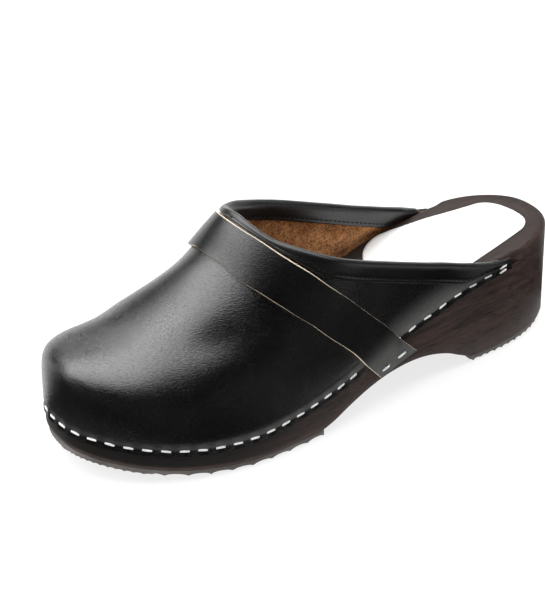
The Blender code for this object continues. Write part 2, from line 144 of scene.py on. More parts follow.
# %% Smooth curves through the tables
def curves(rows):
    """Functions that run smoothly through the columns of a table, against its first column."""
    keys, *columns = np.array(rows, float).T

    def through(values):
        slopes = np.gradient(values, keys)

        def at(key):
            low = np.clip(np.searchsorted(keys, key) - 1, 0, len(keys) - 2)
            gap = keys[low + 1] - keys[low]
            t = np.clip((key - keys[low]) / gap, 0.0, 1.0)
            start = (2 * t**3 - 3 * t**2 + 1) * values[low] + (t**3 - 2 * t**2 + t) * gap * slopes[low]
            end = (3 * t**2 - 2 * t**3) * values[low + 1] + (t**3 - t**2) * gap * slopes[low + 1]
            return start + end

        return at

    return [through(values) for values in columns]


def smoothstep(value):
    """Ease from 0 to 1."""
    t = np.clip(value, 0.0, 1.0)
    return t * t * (3 - 2 * t)


def blend(start, end, share):
    """Point or number part of the way from start to end."""
    return start + (end - start) * share


plan_lateral, plan_medial = curves(PLAN)
rim_height, dish_depth = curves(RIM)
(arch_height,) = curves(ARCH)
print("rim height at the heel and the ball:", rim_height(0.0), rim_height(BALL).round(1))


# %% Outline and underside of the sole
def station_of(turn):
    """Station at an angle from 0 (heel) to pi (toe), which spaces stations evenly round both ends."""
    return HALF_LENGTH * (1 - np.cos(turn))


def turn_of(station):
    """Angle of a station."""
    return np.arccos(np.clip(1 - station / HALF_LENGTH, -1.0, 1.0))


def rounded(width, reach, power):
    """Width that closes to 0 over a rounded end, as the reach into that end goes from 0 to 1."""
    return width * (1 - reach**power) ** (1 / power)


def half_width(station, side):
    """Half width of the sole with its rounded heel and toe."""
    outer = np.asarray(side) > 0
    width = np.where(outer, plan_lateral(station), plan_medial(station))
    heel = np.clip((HEEL_CAP.length - station) / HEEL_CAP.length, 0.0, 1.0)
    length = np.where(outer, TOE_OUTER.length, TOE_INNER.length)
    power = np.where(outer, TOE_OUTER.power, TOE_INNER.power)
    toe = np.clip((station - LENGTH + length) / length, 0.0, 1.0)
    return rounded(rounded(width, heel, HEEL_CAP.power), toe, power)


TIP = 0.001
OUTLINE_STEP = 0.003


def outline(station, side, inset=0.0):
    """Plan point on the sole's edge, moved inward by inset."""
    station = np.asarray(station, float)
    turn = turn_of(station)
    before = station_of(np.maximum(turn - OUTLINE_STEP, 0.0))
    after = station_of(np.minimum(turn + OUTLINE_STEP, pi))
    along = after - before
    across = half_width(after, side) - half_width(before, side)
    tip = 1.0 * (station > LENGTH - TIP) - 1.0 * (station < TIP)
    out_x = np.where(tip == 0, -across / np.hypot(along, across), tip)
    out_y = np.where(tip == 0, side * along / np.hypot(along, across), 0.0)
    edge_y = side * half_width(station, side)
    return np.stack([station - HALF_LENGTH - out_x * inset, edge_y - out_y * inset], -1)


def underside(station):
    """Height of the wood's underside."""
    spring = TOE_SPRING * np.maximum((station - SPRING_START) / (LENGTH - SPRING_START), 0.0) ** 2
    return np.maximum(arch_height(station), RUBBER_THICK) + spring


print("outline at the ball:", outline(BALL, 1.0).round(1), outline(BALL, -1.0).round(1))

# %% Outer face of the upper
roof_height, crown_power, wall_power, ridge_side, flare_depth = curves(LAST)
LEATHER_THICK = 2.0
CLEARANCE = 0.3
REBATE = 1.5
PROUD = LEATHER_THICK + CLEARANCE - REBATE
FEATHER_LIFT = 1.0
SKIRT = 6.8
SKIRT_UNIT = 10.0
FLARE_HEIGHT = 14.0
TOE_PULL = 18.0
PULL_START = 150.0


def shell(station, across):
    """Point on the upper; across is 1 on the outer feather line, 0 on the ridge, -1 on the inner line."""
    station, across = np.broadcast_arrays(np.asarray(station, float), np.asarray(across, float))
    rise = 1 - np.abs(across)
    foot = outline(station, np.where(across >= 0, 1.0, -1.0), -PROUD)
    base = rim_height(station) + FEATHER_LIFT
    angle = np.clip(rise, 0.0, 1.0) * pi / 2
    inward = 1 - np.maximum(np.cos(angle), 0.0) ** (2 / crown_power(station))
    upward = np.sin(angle) ** (2 / wall_power(station))
    sheen_share = TOE_PULL * np.maximum((station - PULL_START) / (LENGTH - PULL_START), 0.0) ** 2
    ridge = np.stack([station - sheen_share - HALF_LENGTH, ridge_side(station - sheen_share)], -1)
    reach = ridge - foot
    spot = foot + reach * inward[..., None]
    height = (roof_height(spot[..., 0] + HALF_LENGTH) - base) * upward
    lean = flare_depth(station) * smoothstep(np.sqrt(np.maximum(height, 0.0) / FLARE_HEIGHT)) * (1 - inward)
    spot = spot + reach / np.linalg.norm(reach, axis=-1, keepdims=True) * lean[..., None]
    z = base + height + np.minimum(rise, 0.0) * SKIRT_UNIT
    return np.concatenate([spot, z[..., None]], -1)


print("top of the vamp above the ball:", shell(BALL, 0.0).round(1))

# %% Directions on the upper
STATION_STEP = 0.4
ACROSS_STEP = 0.004
WALK_STEPS = 4


def unit(vectors):
    """Vectors scaled to length 1."""
    return vectors / np.linalg.norm(vectors, axis=-1, keepdims=True)


def dot(a, b):
    """Scalar product, vector by vector."""
    return np.sum(a * b, axis=-1)


def shell_slopes(station, across):
    """Directions along and across the upper."""
    high = np.minimum(station + STATION_STEP, LENGTH)
    low = station - STATION_STEP
    along = (shell(high, across) - shell(low, across)) / np.asarray(high - low)[..., None]
    over = (shell(station, across + ACROSS_STEP) - shell(station, across - ACROSS_STEP)) / (2 * ACROSS_STEP)
    return along, over


def shell_normal(station, across):
    """Outward direction of the upper."""
    along, over = shell_slopes(station, across)
    return unit(np.cross(along, over))


def walk(station, across, direction, distance):
    """Station and across value reached by going a distance over the upper in a direction."""
    for _ in range(WALK_STEPS):
        along, over = shell_slopes(station, across)
        a, b, c = dot(along, along), dot(along, over), dot(over, over)
        p, q = dot(along, direction), dot(over, direction)
        step = distance / WALK_STEPS / (a * c - b * b)
        station = station + (c * p - b * q) * step
        across = across + (a * q - b * p) * step
    return station, across


print("normal on the ridge:", shell_normal(np.array(BALL), np.array(0.0)).round(2))

# %% [markdown]
# ## Helpers for meshes
# Most pieces start as a flat grid from create_grid, whose vertices are then laid on the curves above. A
# closed section is a grid rolled up, with its first and last rows merged.

# %% Mesh helpers
MERGE = 0.00001
SHARP_ANGLE = radians(50)
EDGE_ANGLE = radians(40)
EDGE_SEGMENTS = 2
OUTWARD = 1.0
INWARD = -1.0


def metres(spots):
    """Points in metres, with the part centred on its own box."""
    return (np.asarray(spots) + PART_SHIFT) * MM


def millimetres(mesh):
    """Points of a mesh in millimetres on the last."""
    return np.array([vert.co for vert in mesh.verts]) / MM - PART_SHIFT


def sheet(mesh, columns, rows, place):
    """Grid with the vertex in column i and row j at place(i, j), for arrays; returns each vertex's j."""
    made = bmesh.ops.create_grid(mesh, x_segments=columns - 1, y_segments=rows - 1, size=1.0)["verts"]
    flat = np.array([vert.co for vert in made])
    i = np.rint((flat[:, 0] + 1) / 2 * (columns - 1)).astype(int)
    j = np.rint((flat[:, 1] + 1) / 2 * (rows - 1)).astype(int)
    for vert, spot in zip(made, metres(place(i, j))):
        vert.co = spot
    return dict(zip(made, j))


def close(mesh):
    """Merges doubles, fills open ends and turns the faces outwards."""
    bmesh.ops.remove_doubles(mesh, verts=mesh.verts, dist=MERGE)
    bmesh.ops.holes_fill(mesh, edges=mesh.edges, sides=0)
    bmesh.ops.recalc_face_normals(mesh, faces=mesh.faces)


def face_out(mesh):
    """Turns an open sheet so that its highest point faces up."""
    bmesh.ops.recalc_face_normals(mesh, faces=mesh.faces)
    mesh.normal_update()
    peak = max(mesh.verts, key=lambda vert: vert.co.z)
    if peak.normal.z < 0:
        bmesh.ops.reverse_faces(mesh, faces=mesh.faces)


def data_of(mesh, name):
    """Mesh data from a finished bmesh."""
    data = bpy.data.meshes.new(name)
    mesh.to_mesh(data)
    mesh.free()
    return data


def object_of(mesh, name, materials):
    """Object in the scene from a finished bmesh."""
    made = bpy.data.objects.new(name, data_of(mesh, name))
    bpy.context.scene.collection.objects.link(made)
    for material in materials:
        made.data.materials.append(material)
    return made


def piece_of(mesh, name, materials, nodes=()):
    """Smooth object that rides on the part's one body."""
    piece = object_of(mesh, name, materials)
    piece.data.shade_smooth()
    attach(piece, "root")
    if nodes:
        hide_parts(*nodes)
    print(name, "has", len(piece.data.polygons), "faces before its modifiers")
    return piece


def wall(piece, thickness, offset):
    """Solidify: the new face in the second material, the cut edge in the third."""
    modifier = piece.modifiers.new("wall", "SOLIDIFY")
    modifier.thickness = thickness * MM
    modifier.offset = offset
    modifier.use_even_offset = True
    modifier.use_quality_normals = True
    modifier.material_offset = 1
    modifier.material_offset_rim = 2


def round_edges(piece, width):
    """Bevel on the sharp edges, as on cut leather."""
    modifier = piece.modifiers.new("round", "BEVEL")
    modifier.width = width * MM
    modifier.segments = EDGE_SEGMENTS
    modifier.limit_method = "ANGLE"
    modifier.angle_limit = EDGE_ANGLE
    modifier.harden_normals = True


print("mesh helpers are ready")

# %% [markdown]
# ## Finishes
# A finish is a small tree of shader nodes. Three effects are shared by several finishes, so each is built
# once as a node group: the fine wrinkles of leather grain, the slow patina that handling leaves, and the
# fibres of a napped or cut surface. Patterns read Object coordinates in metres, so a scale of 1000 is one
# per millimetre.


# %% Node helpers
def fill(tree, socket, value):
    """Links an output to a socket, or sets a plain value on it."""
    if isinstance(value, bpy.types.NodeSocket):
        tree.links.new(value, socket)
    else:
        socket.default_value = value


def add(tree, kind, inputs=None, **options):
    """Shader node with options set, and inputs filled with values or linked to other outputs."""
    made = tree.nodes.new("ShaderNode" + kind)
    for name, value in options.items():
        setattr(made, name, value)
    for name, value in (inputs or {}).items():
        fill(tree, made.inputs[name], value)
    return made


def ramp(tree, value, stops):
    """Colour ramp through (position, colour) stops."""
    made = add(tree, "ValToRGB", {"Fac": value})
    elements = made.color_ramp.elements
    while len(elements) < len(stops):
        elements.new(1.0)
    for element, (position, colour) in zip(elements, stops):
        element.position = position
        element.color = (*colour, 1.0)
    return made.outputs["Color"]


def span(tree, value, old, new):
    """Value mapped from an old (low, high) range to a new one, and clamped."""
    ranges = {"From Min": old[0], "From Max": old[1], "To Min": new[0], "To Max": new[1]}
    return add(tree, "MapRange", {"Value": value, **ranges}).outputs["Result"]


def math(tree, operation, a, b):
    """Result of a Math node on two values."""
    made = add(tree, "Math", operation=operation)
    for socket, value in zip(made.inputs, (a, b)):
        fill(tree, socket, value)
    return made.outputs["Value"]


def tint(tree, factor, base, other):
    """Colour mixed from base to other by a factor."""
    made = add(tree, "Mix", data_type="RGBA")
    for name, value in (("Factor_Float", factor), ("A_Color", base), ("B_Color", other)):
        socket = next(item for item in made.inputs if item.identifier == name)
        fill(tree, socket, (*value, 1.0) if isinstance(value, tuple) else value)
    return next(item for item in made.outputs if item.identifier == "Result_Color")


def dress(tree, shader, **values):
    """Fills a shader's sockets, named with _ for a space."""
    for socket, value in values.items():
        fill(tree, shader.inputs[socket.replace("_", " ")], value)


def finish(name, **values):
    """New material, its tree, its Object coordinates and its Principled shader with plain values set."""
    material = bpy.data.materials.new(name)
    material.use_nodes = True
    tree = material.node_tree
    shader = tree.nodes["Principled BSDF"]
    dress(tree, shader, **values)
    place = add(tree, "TexCoord").outputs["Object"]
    return material, tree, place, shader


def raise_surface(tree, shader, height, strength, distance):
    """Bump on the shader's normal, with its distance in millimetres."""
    bump = add(tree, "Bump", {"Height": height, "Strength": strength, "Distance": distance * MM})
    dress(tree, shader, Normal=bump.outputs["Normal"])


print("node helpers are ready")


# %% Shared groups: grain, patina and fibres
def group(name, scale, output):
    """Empty node group with a vector, a scale and one output."""
    tree = bpy.data.node_groups.new(name, "ShaderNodeTree")
    tree.interface.new_socket("Vector", in_out="INPUT", socket_type="NodeSocketVector")
    tree.interface.new_socket(scale, in_out="INPUT", socket_type="NodeSocketFloat")
    tree.interface.new_socket(output, in_out="OUTPUT", socket_type="NodeSocketFloat")
    return tree, tree.nodes.new("NodeGroupInput").outputs, tree.nodes.new("NodeGroupOutput").inputs


def noise(tree, vector, scale, detail, **others):
    """Value of a noise texture."""
    inputs = {"Vector": vector, "Scale": scale, "Detail": detail, **others}
    return add(tree, "TexNoise", inputs).outputs["Fac"]


UNIT = (0.0, 1.0)
FALLING = (1.0, 0.0)
GRAIN_TURN = (0.0, 0.0, radians(145))
GRAIN_STRETCH = (2.4, 1.0, 1.0)
DOME_SHARE = -0.35
CLOUD_RANGE = (0.35, 0.65)
grain_group, given, result = group("leather_grain", "Wrinkles", "Height")
turning = {"Vector": given["Vector"], "Rotation": GRAIN_TURN, "Scale": GRAIN_STRETCH}
turned = add(grain_group, "Mapping", turning, vector_type="TEXTURE").outputs["Vector"]
folds = noise(grain_group, turned, given["Wrinkles"], detail=2.0, Distortion=0.5)
cell = {"Vector": turned, "Scale": given["Wrinkles"]}
pebble = add(grain_group, "TexVoronoi", cell, feature="SMOOTH_F1").outputs["Distance"]
domes = math(grain_group, "MULTIPLY", pebble, DOME_SHARE)
fill(grain_group, result["Height"], math(grain_group, "ADD", folds, domes))

patina_group, given, result = group("patina", "Patches", "Mask")
clouds = noise(patina_group, given["Vector"], given["Patches"], detail=6.0)
fill(patina_group, result["Mask"], span(patina_group, clouds, CLOUD_RANGE, UNIT))

fibre_group, given, result = group("fibres", "Fineness", "Height")
twist = noise(fibre_group, given["Vector"], given["Fineness"], detail=3.0, Distortion=1.6)
fill(fibre_group, result["Height"], twist)


def use(tree, shared, place, scale):
    """Placed group with its own scale."""
    made = add(tree, "Group", node_tree=shared)
    fill(tree, made.inputs[0], place)
    fill(tree, made.inputs[1], scale)
    return made.outputs[0]


print("groups:", [tree.name for tree in bpy.data.node_groups])


# %% [markdown]
# ## Leather finishes
# The vamp, binding and strap are dyed, waxed cowhide. Its gloss is soft and follows the wrinkled grain, and
# it varies a little where hands have polished it. Where the hide is pulled hard over the sole's edge, its
# finish turns duller, and a painted highlight greys its colour in a band above the staples; a vertex
# attribute marks that band. The flesh side is napped tan suede, and a cut edge shows the pale undyed
# middle of the hide, or black dye.

# %% Black leather
Leather = namedtuple("Leather", "name wrinkles depth dye roughness shine")
LEATHERS = (
    Leather("vamp_leather", 2300.0, 0.13, (0.0012, 0.0028), (0.25, 0.30), (0.60, 0.95)),
    Leather("binding_leather", 2500.0, 0.07, (0.0020, 0.0040), (0.30, 0.36), (0.45, 0.65)),
    Leather("strap_leather", 2500.0, 0.10, (0.0012, 0.0028), (0.27, 0.32), (0.45, 0.75)),
)
# Light grey of the painted highlight in the band of strain above the staples
STRAIN_SHEEN_GREY = (0.090, 0.089, 0.086)
STRAIN_DULLS = 0.22
GRAIN_RANGE = (0.10, 0.45)
POLISHED_PATCHES = 35.0


def black_leather(look):
    """Dyed leather with its own grain size and depth, and its ranges of dye, roughness and shine."""
    material, tree, place, shader = finish(look.name)
    mask = use(tree, patina_group, place, POLISHED_PATCHES)
    strain_and_sheen = add(tree, "Attribute", attribute_name="strain_and_sheen").outputs["Fac"]
    colour = ramp(tree, mask, [(at, (dye,) * 3) for at, dye in zip(UNIT, look.dye)])
    polish = span(tree, mask, UNIT, look.roughness)
    dulled = math(tree, "ADD", polish, math(tree, "MULTIPLY", strain_and_sheen, STRAIN_DULLS))
    grain = use(tree, grain_group, place, look.wrinkles)
    shine = span(tree, grain, GRAIN_RANGE, look.shine)
    # Painted highlight: the dye greys towards a light grey where the hide is strained over the sole's edge
    sheen_tinted = tint(tree, strain_and_sheen, colour, STRAIN_SHEEN_GREY)
    dress(tree, shader, Base_Color=sheen_tinted, Roughness=dulled, Specular_IOR_Level=shine)
    raise_surface(tree, shader, grain, strength=1.0, distance=look.depth)
    return material


vamp_leather, binding_leather, strap_leather = [black_leather(look) for look in LEATHERS]
print("black leathers:", [look.name for look in LEATHERS])

# %% Suede lining and cut edges
NAP_FINENESS = 750.0
BRUSHED_PATCHES = 110.0
BRUSHED = ((0.0, (0.52, 0.200, 0.058)), (1.0, (0.88, 0.410, 0.145)))
DARK_NAP = (0.07, 0.026, 0.008)
NAP_RANGE = (0.38, 0.60)
NAP_SHADE = (0.8, 0.0)
UNDYED = ((0.3, (0.40, 0.28, 0.17)), (0.45, (0.68, 0.56, 0.41)), (0.7, (0.86, 0.79, 0.67)))
DYED = ((0.35, (0.005, 0.0045, 0.004)), (0.75, (0.016, 0.013, 0.011)))
suede, tree, place, shader = finish("suede_lining", Roughness=0.92, Sheen_Weight=0.25, Sheen_Roughness=0.5,
                                    Specular_IOR_Level=0.15)
nap = use(tree, fibre_group, place, NAP_FINENESS)
strokes = ramp(tree, use(tree, patina_group, place, BRUSHED_PATCHES), BRUSHED)
dress(tree, shader, Base_Color=tint(tree, span(tree, nap, NAP_RANGE, NAP_SHADE), strokes, DARK_NAP))
raise_surface(tree, shader, nap, strength=0.6, distance=0.4)


def fibrous(name, fineness, stops, strength, distance, roughness):
    """Dull finish coloured and raised by its own fibres."""
    material, tree, place, shader = finish(name, Roughness=roughness, Specular_IOR_Level=0.2)
    strands = use(tree, fibre_group, place, fineness)
    dress(tree, shader, Base_Color=ramp(tree, strands, stops))
    raise_surface(tree, shader, strands, strength, distance)
    return material


raw_edge = fibrous("raw_edge", fineness=1800.0, stops=UNDYED, strength=0.5, distance=0.3,
                   roughness=0.85)
dyed_edge = fibrous("dyed_edge", fineness=1500.0, stops=DYED, strength=0.5, distance=0.3,
                    roughness=0.75)
print("lining and edges:", suede.name, raw_edge.name, dyed_edge.name)

# %% [markdown]
# ## Wood, rubber, steel and thread
# The sole is one block of light hardwood, stained nearly black. The stain sinks into the softer early wood,
# so the figure still shows as fine streaks along the block and as arcs on the end grain. Edges that are
# sanded or rubbed show a browner tone, which on the rim's outer round is also a painted highlight. The
# stain pools darker on the footbed, and painted shade darkens the walls towards the toe and the ledge under
# the leather's edge. A vertex attribute is above 0 on the lighter edges and below 0 where it darkens.

# %% Stained wood
FIGURE = ((0.30, (0.019, 0.0125, 0.0108)), (0.46, (0.038, 0.0240, 0.0205)),
          (0.58, (0.055, 0.0325, 0.0268)), (0.75, (0.040, 0.0285, 0.0245)))
STREAK_STRETCH = (1.0, 14.0, 14.0)
STREAK_RANGE = (0.3, 0.7)
STREAK_GLOSS = (0.42, 0.58)
VESSEL_STRETCH = (1.0, 26.0, 26.0)
VESSEL_RANGE = (0.56, 0.66)
VESSEL_SHARE = (0.0, 0.75)
PORE_DYE = (0.008, 0.006, 0.005)
PORE_DEPTH = 0.5
# Darker pooled stain on the footbed, and painted shade on the toe's walls and under the leather's edge
POOL_AND_SHADE_RANGE = (-1.0, 0.0)
POOL_AND_SHADE_DYE = (0.0062, 0.0056, 0.0052)
# Browner tone of rubbed edges, also a painted highlight on the rim's outer round
RUBBED_AND_HIGHLIT = (0.062, 0.050, 0.044)
RUBBED_PATCHES = 160.0
RUB_RANGE = (0.2, 0.9)
RUB_SHARE = (0.25, 0.75)


def stretched(tree, place, stretch):
    """Coordinates stretched along the grain."""
    return add(tree, "Mapping", {"Vector": place, "Scale": stretch}).outputs["Vector"]


stained_wood, tree, place, shader = finish("stained_wood", Specular_IOR_Level=0.16)
streaks = noise(tree, stretched(tree, place, STREAK_STRETCH), scale=22.0, detail=7.0, Roughness=0.62)
vessels = noise(tree, stretched(tree, place, VESSEL_STRETCH), scale=70.0, detail=2.0)
open_pores = span(tree, vessels, VESSEL_RANGE, VESSEL_SHARE)
pored = tint(tree, open_pores, ramp(tree, streaks, FIGURE), PORE_DYE)
wear_and_painted_light = add(tree, "Attribute", attribute_name="wear_and_painted_light").outputs["Fac"]
# Pooled stain and painted shade where the attribute is below 0; rubbing and painted highlight above 0
pooled_and_shaded = tint(tree, span(tree, wear_and_painted_light, POOL_AND_SHADE_RANGE, FALLING), pored, POOL_AND_SHADE_DYE)
patches = span(tree, use(tree, patina_group, place, RUBBED_PATCHES), RUB_RANGE, RUB_SHARE)
worn_and_highlit = math(tree, "MULTIPLY", span(tree, wear_and_painted_light, UNIT, UNIT), patches)
dress(tree, shader, Base_Color=tint(tree, worn_and_highlit, pooled_and_shaded, RUBBED_AND_HIGHLIT),
      Roughness=span(tree, streaks, STREAK_RANGE, STREAK_GLOSS))
relief = math(tree, "SUBTRACT", streaks, math(tree, "MULTIPLY", open_pores, PORE_DEPTH))
raise_surface(tree, shader, relief, strength=0.35, distance=0.3)
print("wood finish:", stained_wood.name)

# %% Tread rubber, steel, thread and label
RUBBER = ((0.0, (0.098, 0.088, 0.081)), (1.0, (0.165, 0.151, 0.140)))
STEEL = ((0.0, (0.84, 0.84, 0.83)), (1.0, (0.97, 0.97, 0.96)))
YARN = ((0.3, (0.003, 0.003, 0.003)), (0.7, (0.009, 0.009, 0.008)))
FILM = ((0.0, (0.64, 0.64, 0.635)), (1.0, (0.70, 0.70, 0.695)))
GRIT_FINENESS = 2200.0


def handled(name, patches, stops, roughness, **values):
    """Finish whose colour and roughness follow patches of handling, with its tree, place and shader."""
    material, tree, place, shader = finish(name, **values)
    mask = use(tree, patina_group, place, patches)
    dress(tree, shader, Base_Color=ramp(tree, mask, stops), Roughness=span(tree, mask, UNIT, roughness))
    return material, tree, place, shader


tread_rubber, tree, place, shader = handled("tread_rubber", patches=90.0, stops=RUBBER,
                                            roughness=(0.6, 0.8), Specular_IOR_Level=0.3)
grit = use(tree, fibre_group, place, GRIT_FINENESS)
raise_surface(tree, shader, grit, strength=0.3, distance=0.2)
staple_steel, *_ = handled("staple_steel", patches=700.0, stops=STEEL, roughness=(0.35, 0.5),
                           Metallic=0.2)
waxed_thread = fibrous("waxed_thread", fineness=3000.0, stops=YARN, strength=0.4, distance=0.2,
                       roughness=0.7)
heel_label, *_ = handled("heel_label", patches=45.0, stops=FILM, roughness=(0.25, 0.4),
                         Specular_IOR_Level=0.5)
print("other finishes:", tread_rubber.name, staple_steel.name, waxed_thread.name, heel_label.name)

# %% [markdown]
# ## Wooden sole
# The real sole is milled from one block: a flat underside with an arch cut through it, upright walls, a
# rebate that takes the edge of the leather, a rounded rim and a dished footbed. Each half is a grid of
# sections from the middle of the underside, up the edge and in to the middle of the footbed; merging joins
# the halves.

# %% Sections of the wood
SPINE_HEEL = 22.0
SPINE_TOE = 34.0
SPINE_FROM = 60.0
SPINE_TO = 190.0
EDGE_ROUND = 1.0
RIM_ROUND = 2.4
RIM_WIDTH = 9.0
LEDGE_SLOPE = 0.25
REBATE_START = 30.5
REBATE_FULL = 36.5


def spine(station):
    """Centre line that stops short of both rounded ends."""
    heel = blend(SPINE_HEEL, SPINE_FROM, station / SPINE_FROM)
    toe = blend(SPINE_TO, LENGTH - SPINE_TOE, (station - SPINE_TO) / (LENGTH - SPINE_TO))
    along = np.where(station < SPINE_FROM, heel, np.where(station > SPINE_TO, toe, station))
    return np.stack([along - HALF_LENGTH, (half_width(along, 1.0) - half_width(along, -1.0)) / 2], -1)


def level(spot, height):
    """Plan point with its height."""
    return np.concatenate([spot, np.asarray(height)[..., None]], -1)


def under_row(station, side, share):
    """Point of the underside, from the centre line (0) to the rounded edge (1)."""
    spot = blend(spine(station), outline(station, side, EDGE_ROUND), share)
    return level(spot, underside(spot[..., 0] + HALF_LENGTH))


def bed_row(station, side, share, dip):
    """Point of the footbed, from the rim (0) to the centre line (1), at a share of the dish's depth."""
    spot = blend(outline(station, side, RIM_WIDTH), spine(station), share)
    where = spot[..., 0] + HALF_LENGTH
    return level(spot, rim_height(where) - dish_depth(where) * dip)


def arc(share):
    """Way in and way up on a quarter circle, for a share from its foot to its top."""
    return 1 - np.cos(share * pi / 2), np.sin(share * pi / 2)


print("spine from", spine(np.array(0.0)).round(1), "to", spine(np.array(LENGTH)).round(1))

# %% Rows of one half section
UNDER_SHARES = (0.0, 0.25, 0.5, 0.75, 1.0)
ROUND_SHARES = (0.33, 0.67, 1.0)
WALL_SHARES = (0.2, 0.4, 0.6, 0.8, 0.97, 1.0)
RIM_SHARES = (0.0, 0.25, 0.5, 0.75, 1.0)
# Share of the way to the centre line, share of the dish's depth
BED_ROWS = (
    (0.0, 0.08), (0.03, 0.13), (0.08, 0.22), (0.16, 0.37), (0.28, 0.56), (0.45, 0.76), (0.65, 0.91),
    (0.85, 0.98), (1.0, 1.0),
)
EDGE_WEAR = 0.7
# Lighter outer round of the rim: rubbing and a painted highlight
RIM_WEAR_AND_HIGHLIGHT = 0.9
POOLED = 0.55
RIM_DIP = 0.3
# Painted shade that darkens the walls towards the toe
TOE_SHADE = 0.9
TOE_SHADE_FROM = 120.0
TOE_SHADE_RUN = 90.0


def wood_rows(station, side):
    """All rows of one half as arrays of points along the sole, with each row's wear and painted light."""
    covered = smoothstep((station - REBATE_START) / (REBATE_FULL - REBATE_START))
    rebate = REBATE * covered
    # Painted shade on the walls, growing towards the toe
    toe_shade = TOE_SHADE * smoothstep((station - TOE_SHADE_FROM) / TOE_SHADE_RUN)
    rim = rim_height(station)
    floor = underside(station)
    ledge = rim + FEATHER_LIFT - SKIRT - CLEARANCE
    rows = [(under_row(station, side, share), 0.0) for share in UNDER_SHARES]
    for share in ROUND_SHARES:
        inward, up = arc(share)
        spot = outline(station, side, EDGE_ROUND * (1 - up))
        rows.append((level(spot, floor + EDGE_ROUND * inward), EDGE_WEAR))
    for share in WALL_SHARES:
        rows.append((level(outline(station, side), blend(floor + EDGE_ROUND, ledge, share)), -toe_shade))
    # Painted shade on the ledge under the leather's edge, where the leather covers it
    rows.append((level(outline(station, side, rebate), ledge + LEDGE_SLOPE), -covered))
    for share in RIM_SHARES:
        inward, up = arc(share)
        spot = outline(station, side, rebate + RIM_ROUND * inward)
        # Rubbing and a painted highlight on the rim's outer round, except under the leather; pooled stain on
        # its top
        rub_and_light = RIM_WEAR_AND_HIGHLIGHT * (1 - up) * (1 - covered) - POOLED * up
        rows.append((level(spot, rim - RIM_ROUND * (1 - up)), rub_and_light))
    spot = outline(station, side, (rebate + RIM_ROUND + RIM_WIDTH) / 2)
    rows.append((level(spot, rim - RIM_DIP), -POOLED))
    rows += [(bed_row(station, side, share, dip), -POOLED) for share, dip in BED_ROWS]
    return rows


WOOD_COLUMNS = 236
wood_stations = station_of(np.linspace(0.0, pi, WOOD_COLUMNS))
print("rows in one half section:", len(wood_rows(wood_stations, 1.0)))

# %% Wooden sole
mesh = bmesh.new()
wear_and_painted_light = mesh.verts.layers.float.new("wear_and_painted_light")
for side in (1.0, -1.0):
    rows = wood_rows(wood_stations, side)
    places = np.array([row for row, _ in rows])
    rubs_and_light = np.array([np.broadcast_to(rub_and_light, wood_stations.shape) for _, rub_and_light in rows])
    start = len(mesh.verts)
    sheet(mesh, WOOD_COLUMNS, len(rows), lambda i, j: places[j, i])
    mesh.verts.ensure_lookup_table()
    for vert, rub_and_light in zip(mesh.verts[start:], rubs_and_light.ravel()):
        vert[wear_and_painted_light] = float(rub_and_light)
bmesh.ops.remove_doubles(mesh, verts=mesh.verts, dist=MERGE)
bmesh.ops.recalc_face_normals(mesh, faces=mesh.faces)
footbed = BVHTree.FromBMesh(mesh)
wooden_sole = piece_of(mesh, "clog_sole", [stained_wood], ["wooden_sole"])
wooden_sole.data.set_sharp_from_angle(angle=SHARP_ANGLE)

# %% [markdown]
# ## Heel label
# A plain white film is stuck on the heel seat. It is a grid of film pulled into a teardrop and dropped onto
# the footbed by rays from above, so that it follows the dish.

# %% Heel label
LABEL_REAR = 10.5
LABEL_FRONT = 88.0
LABEL_HALF = 13.5
LABEL_SPREAD = 0.205
LABEL_HEEL_CAP = Cap(12.0, 2.2)
LABEL_TOE_CAP = Cap(24.0, 2.4)
LABEL_CENTRE = 1.0
LABEL_LIFT = 0.2
LABEL_THICK = 0.25
LABEL_COLUMNS = 61
LABEL_ROWS = 31
DROP_FROM = 0.2
DOWN = Vector((0.0, 0.0, -1.0))


def label_half(station):
    """Half width of the teardrop, rounded at both ends."""
    heel = np.clip((LABEL_REAR + LABEL_HEEL_CAP.length - station) / LABEL_HEEL_CAP.length, 0.0, 1.0)
    toe = np.clip((station - LABEL_FRONT + LABEL_TOE_CAP.length) / LABEL_TOE_CAP.length, 0.0, 1.0)
    width = LABEL_HALF + LABEL_SPREAD * (station - LABEL_REAR)
    for reach, cap in ((heel, LABEL_HEEL_CAP), (toe, LABEL_TOE_CAP)):
        width = rounded(width, reach, cap.power)
    return width


def label_place(i, j):
    """Point of the label, spread over the teardrop and dropped onto the footbed."""
    turn = i / (LABEL_COLUMNS - 1) * pi
    station = blend(LABEL_REAR, LABEL_FRONT, (1 - np.cos(turn)) / 2)
    share = j / (LABEL_ROWS - 1) * 2 - 1
    flat = np.stack([station - HALF_LENGTH, LABEL_CENTRE + share * label_half(station)], -1)
    spots = []
    for x, y, _ in metres(level(flat, np.zeros(len(flat)))):
        hit = footbed.ray_cast(Vector((x, y, DROP_FROM)), DOWN)[0]
        spots.append(hit[2] / MM + LABEL_LIFT)
    return level(flat, np.array(spots))


mesh = bmesh.new()
sheet(mesh, LABEL_COLUMNS, LABEL_ROWS, label_place)
bmesh.ops.remove_doubles(mesh, verts=mesh.verts, dist=MERGE)
face_out(mesh)
label = piece_of(mesh, "heel_label", [heel_label, heel_label, heel_label])
wall(label, LABEL_THICK, OUTWARD)

# %% [markdown]
# ## Treads
# Two slabs of ribbed rubber are glued under the heel and the forefoot. Each rib ends in a sharp ridge with
# a hollow between, so the edge of the slab is scalloped. The toe of the front slab has short fine ribs that
# run lengthwise. Each slab is a grid rolled round its section, with its ends filled.

